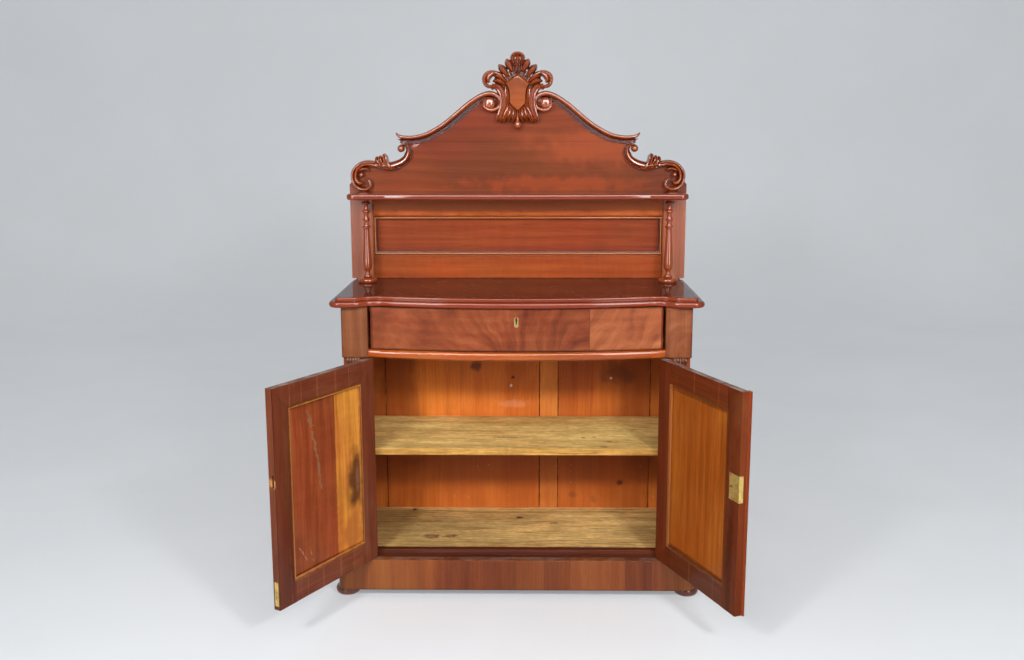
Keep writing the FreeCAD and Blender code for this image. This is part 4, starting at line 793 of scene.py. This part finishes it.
sections = dict(
    bead=[(0, 0), (0, 0.55), (0.04, 0.74), (0.14, 0.9), (0.28, 0.98), (0.42, 1), (0.6, 0.97), (0.78, 0.86),
        (0.9, 0.7), (0.97, 0.52), (1, 0.4), (1, 0)],
    cove=[(0, 0), (0, 0.6), (0.1, 0.5), (0.22, 0.36), (0.38, 0.25), (0.56, 0.18), (0.76, 0.15), (0.9, 0.15),
        (1, 0.1), (1, 0)],
    round=mirrored([(0, 0), (0, 0.3), (0.04, 0.52), (0.12, 0.74), (0.24, 0.9), (0.38, 0.98), (0.5, 1)]),
    bar=[(0, 0), (0, 0.38), (0.05, 0.46), (0.12, 0.46), (0.18, 0.4), (0.22, 0.46), (0.27, 0.68), (0.36, 0.9),
        (0.48, 1), (0.6, 0.98), (0.7, 0.86), (0.76, 0.7), (0.8, 0.62), (0.84, 0.68), (0.9, 0.76), (0.96, 0.7),
        (1, 0.5), (1, 0)],
    sweep=[(0, 0), (0, 0.3), (0.06, 0.52), (0.16, 0.74), (0.3, 0.9), (0.46, 1), (0.6, 1), (0.7, 0.92),
        (0.76, 0.8), (0.82, 0.78), (0.9, 0.76), (0.96, 0.62), (1, 0.42), (1, 0)],
    leaf=[(0, 0), (0, 0.5), (0.05, 0.7), (0.14, 0.9), (0.26, 0.99), (0.38, 0.95), (0.48, 0.82), (0.54, 0.78),
        (0.6, 0.84), (0.7, 0.95), (0.8, 0.94), (0.9, 0.8), (0.96, 0.66), (1, 0.5), (1, 0)],
    shell=mirrored([(0, 0), (0, 0.45), (0.07, 0.76), (0.16, 0.9), (0.24, 0.8), (0.31, 0.58), (0.35, 0.58),
        (0.41, 0.86), (0.5, 1)]),
    blade=[(0, 0), (0, 0.5), (0.08, 0.7), (0.26, 0.9), (0.46, 1), (0.6, 0.95), (0.78, 0.84), (0.92, 0.68),
        (1, 0.5), (1, 0)])

# each line runs from a tip to its eye or root; the crest rail's is its top edge
crestRail = dict(
    bead=[
        (390, 207, 0, 4, 20), (384, 202.5, 0, 9, 24), (372, 198.5, 0, 12, 27), (344, 197, 0, 12.5, 28),
        (312, 202, 0, 13, 28), (284, 213, 0, 14, 28), (243, 237, 0, 15, 28), (204, 268, 0, 16, 28),
        (167, 299, 0, 16.5, 28), (135, 321, 0, 17, 28), (110, 333, 0, 17.5, 29), (88, 337, 0, 18, 30),
        (67, 331, 0, 17.5, 31), (53, 317, 0, 16, 31.5), (48.5, 300, 0, 15, 31.5), (54, 284, 0, 15, 31),
        (69, 273, 0, 15.5, 31), (87, 270, 0, 16, 31), (103, 276, 0, 15, 31), (112, 289, 0, 12, 31),
        (111, 303, 0, 7, 29), (105, 314, 0, 3, 26)],
    cove=[
        (377, 199, 7, 26, 27), (366, 198, 7, 27.5, 28), (344, 197, 7, 28, 28), (312, 202, 7, 28, 28),
        (284, 213, 7, 29, 28), (243, 237, 7, 30, 28), (204, 268, 7, 30.5, 28), (167, 299, 7, 30, 28),
        (135, 321, 7, 28, 28), (113, 332, 7, 23, 27), (98, 336, 7, 17, 24)],
    eye=(90, 299, 18, 24, 34))

sideScroll = dict(
    bar=[
        (382, 165, 0, 3, 22), (378, 169, 0, 5, 25), (370, 172.5, 0, 9, 28), (358, 173, 0, 12, 29),
        (345.5, 163, 0, 17, 30), (339, 147.5, 0, 23, 30), (341, 132, 0, 25, 30), (350, 115.5, 0, 25, 30),
        (365.5, 102, 0, 26, 30), (384, 92.5, 0, 27, 30), (407, 87, 0, 27, 30), (429, 89.5, 0, 25, 30),
        (449, 95, 0, 19, 28), (466, 99, 0, 11, 25), (478, 100, 0, 5, 22)],
    sweep=[
        (446, 104, -8, 0, 22), (457, 115, -11, 0, 28), (471, 118.6, -13, 0, 31), (487.6, 119.3, -13, 0, 32),
        (504.6, 115.5, -13, 0, 33), (518.5, 108, -13, 0, 33), (529.3, 97.2, -13, 0, 33), (537, 85, -13, 0, 33),
        (540, 72.8, -13, 0, 33), (539.3, 57.5, -13, 0, 33), (535.4, 45.3, -13.5, 0, 33), (529, 33, -14, 0, 33),
        (519, 25, -14.5, 0, 33), (506, 20, -15, 0, 34), (492, 19.4, -15, 0, 34), (480, 24, -14.5, 0, 34),
        (471.4, 33, -13.5, 0, 33), (469.8, 43, -12, 0, 32), (473.7, 54, -10, 0, 31), (481.4, 61, -8, 0, 30),
        (490.5, 60.5, -4, 0, 27)],
    tongue=[
        (450, 99, 5, 24), (470, 105, 6.5, 31), (487, 106.3, 6.5, 33), (502, 102.5, 6.5, 34),
        (513.5, 94, 6.5, 34), (520.5, 82, 6.5, 34), (523, 69, 6.5, 35), (521, 57, 7, 36), (514, 48.5, 8, 37),
        (505, 46, 7, 36), (499, 47.5, 3.5, 28)],
    leaflet=[(513, 85, 4, 24), (503, 90, 6, 30), (493, 92, 6, 31), (484, 90.5, 5, 30), (479, 84, 2.5, 24)],
    ball=(375, 156, 12, 18, 33), eye=(504.5, 72.5, 9, 18, 34),
    leaves=[
        [(396, 93, 4, 27), (410, 98, -8, 7, 34), (420, 107, -9, 8, 38), (425.5, 118, 9, 39), (428, 129, 9, 37),
         (432, 139, -4, 5, 27)],
        [(405, 90, 4, 27), (422, 95.5, 7, 34), (435, 105, 8, 37), (442, 116, 8, 38), (444, 126, 7, 35),
         (441, 133.5, 3.5, 26)],
        [(424, 92, 3, 26), (438, 98.5, -6, 5, 32), (448, 108, -6, 5, 34), (454.5, 118, -5.5, 5, 33),
         (455.5, 126, 4, 29), (452.5, 131, 2, 23)]])

cartouche = dict(
    pad=[
        (0, 448, 12, 20), (0, 430, 22, 20), (0, 412, 38, 20), (0, 397, 50, 20), (0, 385, 70, 20),
        (0, 366, 75, 20), (0, 352, 66, 19), (0, 342, 60, 18), (0, 300, 52, 16), (0, 264, 54, 12),
        (0, 248, 26, 8)],
    shell=[
        (0, 394, 9, 24), (0, 410, 14, 30), (0, 424, 21, 35), (0, 434, 23.5, 37), (0, 443, 21, 35),
        (0, 450, 14, 30)],
    shellRoll=[
        (-21, 437, 3, 24), (-18.5, 445, 5, 35), (-10, 451.5, 6, 41), (0, 453.5, 6, 43), (10, 451.5, 6, 41),
        (18.5, 445, 5, 35), (21, 437, 3, 24)],
    lobes=[
        [(15, 395, 5, 26), (21, 406, 9, 34), (27.5, 418, 11.5, 38), (32, 428, 10, 36), (35, 436, 3.5, 25)],
        [(29, 383, 5, 26), (38, 394, 9, 34), (48, 404.5, 11.5, 38), (55, 412, 9.5, 35), (60, 418.5, 3.5, 25)],
        [(38, 354, 5, 28), (50, 364, 8, 35), (63, 369, 9, 36), (73, 368, 6, 32), (79, 366, 3, 24)],
        [(36, 366, 5, 26), (48, 376, 7, 32), (60, 383, 7, 33), (70, 384, 5, 30), (76, 382, 2.5, 24)],
        [(4, 388, 3, 33), (7, 396, 4.5, 37), (9, 404, 3, 32)],
        [(16, 383, 3, 33), (22, 391, 4.5, 38), (27, 399, 3, 32)],
        [(27, 374, 3, 33), (36, 382, 4.5, 37), (42, 390, 3, 31)]],
    horn=[
        (34, 372, -12, 0, 24), (48, 390, -14, 0, 30), (66, 399.5, -15, 0, 35), (85, 402, -15, 0, 37),
        (102, 396, -16, 0, 38), (112.5, 382, -16, 0, 38), (113, 365, -15, 0, 38), (106, 351, -14, 0, 37),
        (93, 344.5, -13, 0, 36), (79, 347, -11, 0, 34), (73, 357, -8, 0, 30)],
    fold=[(62, 394, 4, 28), (76, 392, 8, 36), (90, 383, 10, 40), (94, 370, -8, 7, 38), (89, 363, 4, 30)],
    acanthus=[
        [(84, 342, 4, 24), (74, 349, 9, 32), (61, 346, 12, 37), (50, 331, 13, 39), (46, 311, 13.5, 40),
         (47, 291, 13.5, 39), (53, 271, 12.5, 36), (61, 254, 9, 32), (66, 242, 3.5, 23)],
        [(38, 356, 3, 27), (35, 342, 7, 33), (33, 322, 7.5, 35), (33, 302, 7.5, 36), (37, 284, 8, 36),
         (44, 266, 8, 35), (51, 251, 6, 31), (58, 238, 3, 23)],
        [(22, 294, 6, 32), (29, 279, 9, 39), (37, 264, 9.5, 38), (43, 250, 7, 33), (48, 237, 3, 23)],
        [(16, 286, 6, 33), (20, 271, 8.5, 40), (26, 256, 8.5, 38), (32, 240, 3.5, 24)],
        [(8, 280, 5, 33), (10, 266, 7, 38), (13, 252, 7, 36), (18, 238, 3, 24)]],
    neck=[(0, 274, 3, 29), (0, 257, 7, 34), (0, 243, 9, 33), (0, 236, 9, 30)],
    bud=(0, 231, 13.5, 18, 35),
    shield=[
        (0, 386), (12, 379), (24, 370), (37, 359), (31, 350), (27, 338), (25.5, 319), (26, 300), (14, 286),
        (0, 274)],
    shieldRises=(20, 38.6, 41.2, 43), shieldBrim=0.935, shieldMiddle=328, shieldRidge=(298, 360),
    shieldRoll=[(38.5, 357, 3, 37), (31, 366, 4, 42), (15, 379, 4, 44), (0, 387, 4, 44)])


def carve(work, drawing, cuts, side=1, step=2.5):  # each line, or list of lines, with its section
    for line, section in cuts.items():
        for stations in drawing[line] if isinstance(drawing[line][0], list) else [drawing[line]]:
            stroke(work, stations, section, side, step)


def carveCrestRail(side):
    work = bmesh.new()
    carve(work, crestRail, {"bead": "bead", "cove": "cove"}, side)
    dome(work, *crestRail["eye"], side=side)
    return work


def carveSideScroll(side):
    work = bmesh.new()
    carve(work, sideScroll, {"bar": "bar", "sweep": "sweep", "tongue": "round", "leaflet": "round"}, side)
    dome(work, *sideScroll["ball"], side=side)
    dome(work, *sideScroll["eye"], side=side)
    carve(work, sideScroll, {"leaves": "leaf"}, side, 2)
    return work


def carveShield():  # a cushion with a ridge down the middle
    work = bmesh.new()
    right = cartouche["shield"]
    outline = right + [(-x, z) for x, z in right[-2:0:-1]]
    wall, edge, brim, ridge = cartouche["shieldRises"]
    middle = cartouche["shieldMiddle"]
    rows = []
    # hollow values: the shield's foot and wall lie in painted shade, its face and ridge nearly none
    for share, rise, hollowShade in ((1, 0, 1), (1, wall, 0.9), (0.98, edge, 0), (cartouche["shieldBrim"], brim, 0.2)):
        rows.append(addRow(work, [
            (crestPoint(x * share, middle + (z - middle) * share, rise), hollowShade) for x, z in outline]))
    joinRows(work, rows)
    work.faces.new(rows[0])
    low, high = addRow(work, [(crestPoint(0, z, ridge), 0.25) for z in cartouche["shieldRidge"]])
    inner = rows[-1]
    upper = [z > middle for x, z in outline]
    for j in range(len(outline)):
        k = (j + 1) % len(outline)
        nearest = high if upper[j] or upper[k] else low
        work.faces.new((inner[j], inner[k], nearest))
        if upper[j] != upper[k]:
            work.faces.new((inner[k] if upper[j] else inner[j], high, low))
    return work


def carveCartouche():
    work = bmesh.new()
    # the pad behind the strokes lies deep in painted shade, dark where it shows between them
    stroke(work, cartouche["pad"], "round", hollowShade=0.9)
    carve(work, cartouche, {"shell": "shell"}, 1, 2)
    leafwork = {"horn": "round", "fold": "round", "shieldRoll": "round", "lobes": "blade", "acanthus": "leaf"}
    for side in (1, -1):
        carve(work, cartouche, leafwork, side, 2)
    carve(work, cartouche, {"shellRoll": "round", "neck": "round"}, 1, 2)
    dome(work, *cartouche["bud"], tall=1.1)
    return work


for side, word in sides:
    cutPiece(f"carved_rail_{word}", carveCrestRail(side), [f"crest_rail_{word}"])
    cutPiece(f"carved_scroll_{word}", carveSideScroll(side), [f"crest_scroll_{word}"])
cutPiece("carved_cartouche", carveCartouche(), ["cartouche"])
cutPiece("carved_shield", carveShield(), ["cartouche"], "shield")
print("crest carved")

# moulded bead round the gallery panel, with mitred corners; a profile point is the inset from the outer
# edge, the rise from the gallery's face, and how deep in painted shade it lies
galleryBead = [
    (0, -5, 1), (0, -0.4, 0.2), (2.6, -0.4, 0.3), (3.4, -2.2, 1), (4.2, -0.6, 0.6), (5.2, 1, 0.1),
    (6.6, 1.9, 0), (8, 1.9, 0), (9.4, 1, 0.2), (10.4, -0.8, 0.6), (11.2, -3.4, 1), (13.3, -4.4, 1),
    (13.5, -5.6, 1)]


def carveBead():
    work = bmesh.new()
    low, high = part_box("gallery_bead")
    corners = ((low.x, low.z, 1, 1), (high.x, low.z, -1, 1), (high.x, high.z, -1, -1), (low.x, high.z, 1, -1))
    rows = [
        addRow(work, [
            ((x + inX * inset * mm, low.y - rise * mm, z + inZ * inset * mm), hollowShade)
            for inset, rise, hollowShade in galleryBead])
        for x, z, inX, inZ in corners]
    joinRows(work, rows + rows[:1])
    return work


cutPiece("gallery_bead_moulded", carveBead(), ["gallery_bead"], "gallery_bead")

# corbels: x from the corbel's middle, z down from the frieze
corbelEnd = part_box("corbels")[1]
corbel = dict(
    middle=corbelEnd.x / mm - 21, lobeTall=1.35, leastRise=0.4,
    body=[(0, -3, 20, 11), (0, -14, 20.5, 12), (0, -42, 18, 7), (0, -82, 14, 9), (0, -120, 9, 7),
        (0, -147, 4, 3)],
    roll=[(-20.5, -6.5, 6, 11), (0, -6.5, 6, 12), (20.5, -6.5, 6, 11)],
    rib=[(0, -10, 3, 15), (0, -42, 3, 11), (0, -82, 3, 13), (0, -120, 2.5, 10), (0, -148, 1.5, 4)],
    leaf=[(2, 0, 3, 9), (9, -9, 5, 12.5), (15, -22, 4.5, 12), (18, -33, 2, 7)],
    lobes=[(-16.5, -6.5, 4.4, 8, 15.5), (-8.3, -6.5, 4.6, 8, 16), (0, -6.5, 4.8, 8, 16.5),
        (8.3, -6.5, 4.6, 8, 16), (16.5, -6.5, 4.4, 8, 15.5)],
    levels=[(-16, 1), (-44, 0.92), (-72, 0.78), (-98, 0.62), (-120, 0.42)])


def corbelPoint(x, z, rise):
    return Vector((x, corbelEnd.y / mm - rise, corbelEnd.z / mm + z)) * mm


def corbelLine(line, mirror=1, share=1, down=0):  # moved to the corbel's middle; a share makes it smaller
    middle, least = corbel["middle"], corbel["leastRise"]
    return [(middle + mirror * x * share, z * share + down, half * share, rise * (least + (1 - least) * share))
            for x, z, half, rise in corbel[line]]


def carveCorbels():
    work = bmesh.new()
    for side in (1, -1):
        # the body and roll lie deep in painted shade
        for line in ("body", "roll"):
            stroke(work, corbelLine(line), "round", side, 3, corbelPoint, 0.9)
        for x, *shape in corbel["lobes"]:
            dome(work, corbel["middle"] + x, *shape, side, corbel["lobeTall"], 5, 14, corbelPoint)
        stroke(work, corbelLine("rib"), "round", side, 3, corbelPoint)
        for down, share in corbel["levels"]:
            for mirror in (1, -1):
                leaf = corbelLine("leaf", mirror, share, down)
                stroke(work, leaf, "blade", side, 2, corbelPoint)
    return work


cutPiece("carved_corbels", carveCorbels(), ["corbels"], "corbels")
print("corbels carved")


# stage and light

stage = dict(
    front=-9, back=4.4, side=12, round=1.2, top=10, steps=16,
    colour=(0.6, 0.615, 0.63), shade=0.93, glow=(0.27, 0.28, 0.29))


def stageSheet():
    bend, back, side = stage["round"], stage["back"], stage["side"]
    profile = [(stage["front"], 0)]
    for i in range(stage["steps"] + 1):
        a = pi / 2 * i / stage["steps"]
        profile.append((back + bend * sin(a), bend * (1 - cos(a))))
    profile.append((back + bend, stage["top"]))
    mesh = bpy.data.meshes.new("floorAndBackdrop")
    points = [(x, y, z) for y, z in profile for x in (-side, side)]
    faces = [(2 * i, 2 * i + 1, 2 * i + 3, 2 * i + 2) for i in range(len(profile) - 1)]
    mesh.from_pydata(points, [], faces)
    mesh.shade_smooth()
    paint = Paint("pale floor")
    shade = paint.noise(paint.place(), 1.3, 4).step(0.2, 0.8)
    colour = paint.mix(stage["colour"], tuple(c * stage["shade"] for c in stage["colour"]), shade)
    seen = paint.node("LightPath", {}, {}, "Is Camera Ray")
    for kind in ("Is Glossy Ray", "Is Transmission Ray"):
        seen = seen + paint.node("LightPath", {}, {}, kind)
    glow = paint.mix((0, 0, 0), stage["glow"], seen)
    mesh.materials.append(paint.finish({
        "Base Color": colour, "Roughness": 0.6, "Emission Color": glow, "Emission Strength": 1}))
    linked("floorAndBackdrop", mesh)


stageSheet()

# soft lamps light the piece; gleams show only in its polish; a lamp off the middle is one of two
lamps = {
    "key": dict(place=(1.3, -3.2, 2.2), aim=0.8, size=(0.45, 0.3), power=58, seen="diffuse"),
    "fill": dict(place=(0, -3.3, 1.95), aim=0.6, size=(1.8, 0.7), power=38, seen="diffuse"),
    "gleam": dict(place=(1.4, -2.6, 1.55), aim=1, size=(0.75, 1.9), power=54, seen="glossy"),
    "gleamHigh": dict(place=(0, -2.5, 2.8), aim=1.2, size=(4.2, 1.5), power=235, seen="glossy"),
}


def addLamp(name, x, lamp):
    data = bpy.data.lights.new(name, "AREA")
    data.shape = "RECTANGLE"
    data.size, data.size_y = lamp["size"]
    data.energy = lamp["power"]
    made = linked(name, data)
    made.location = (x, *lamp["place"][1:])
    look = Vector((0, 0, lamp["aim"])) - Vector((x, *lamp["place"][1:]))
    made.rotation_euler = look.to_track_quat("-Z", "Y").to_euler()
    made.visible_camera = False
    made.visible_glossy = lamp["seen"] == "glossy"
    made.visible_diffuse = lamp["seen"] == "diffuse"


for name, lamp in lamps.items():
    x = lamp["place"][0]
    for side, word in sides if x else ((0, ""),):
        addLamp(name + word.title(), side * x, lamp)

room = (0.33, 0.33, 0.34, 1)
world = bpy.data.worlds.new("room")
world.use_nodes = True
world.node_tree.nodes["Background"].inputs["Color"].default_value = room
scene.world = world
scene.view_settings.view_transform = "Standard"
print("stage and lamps ready")
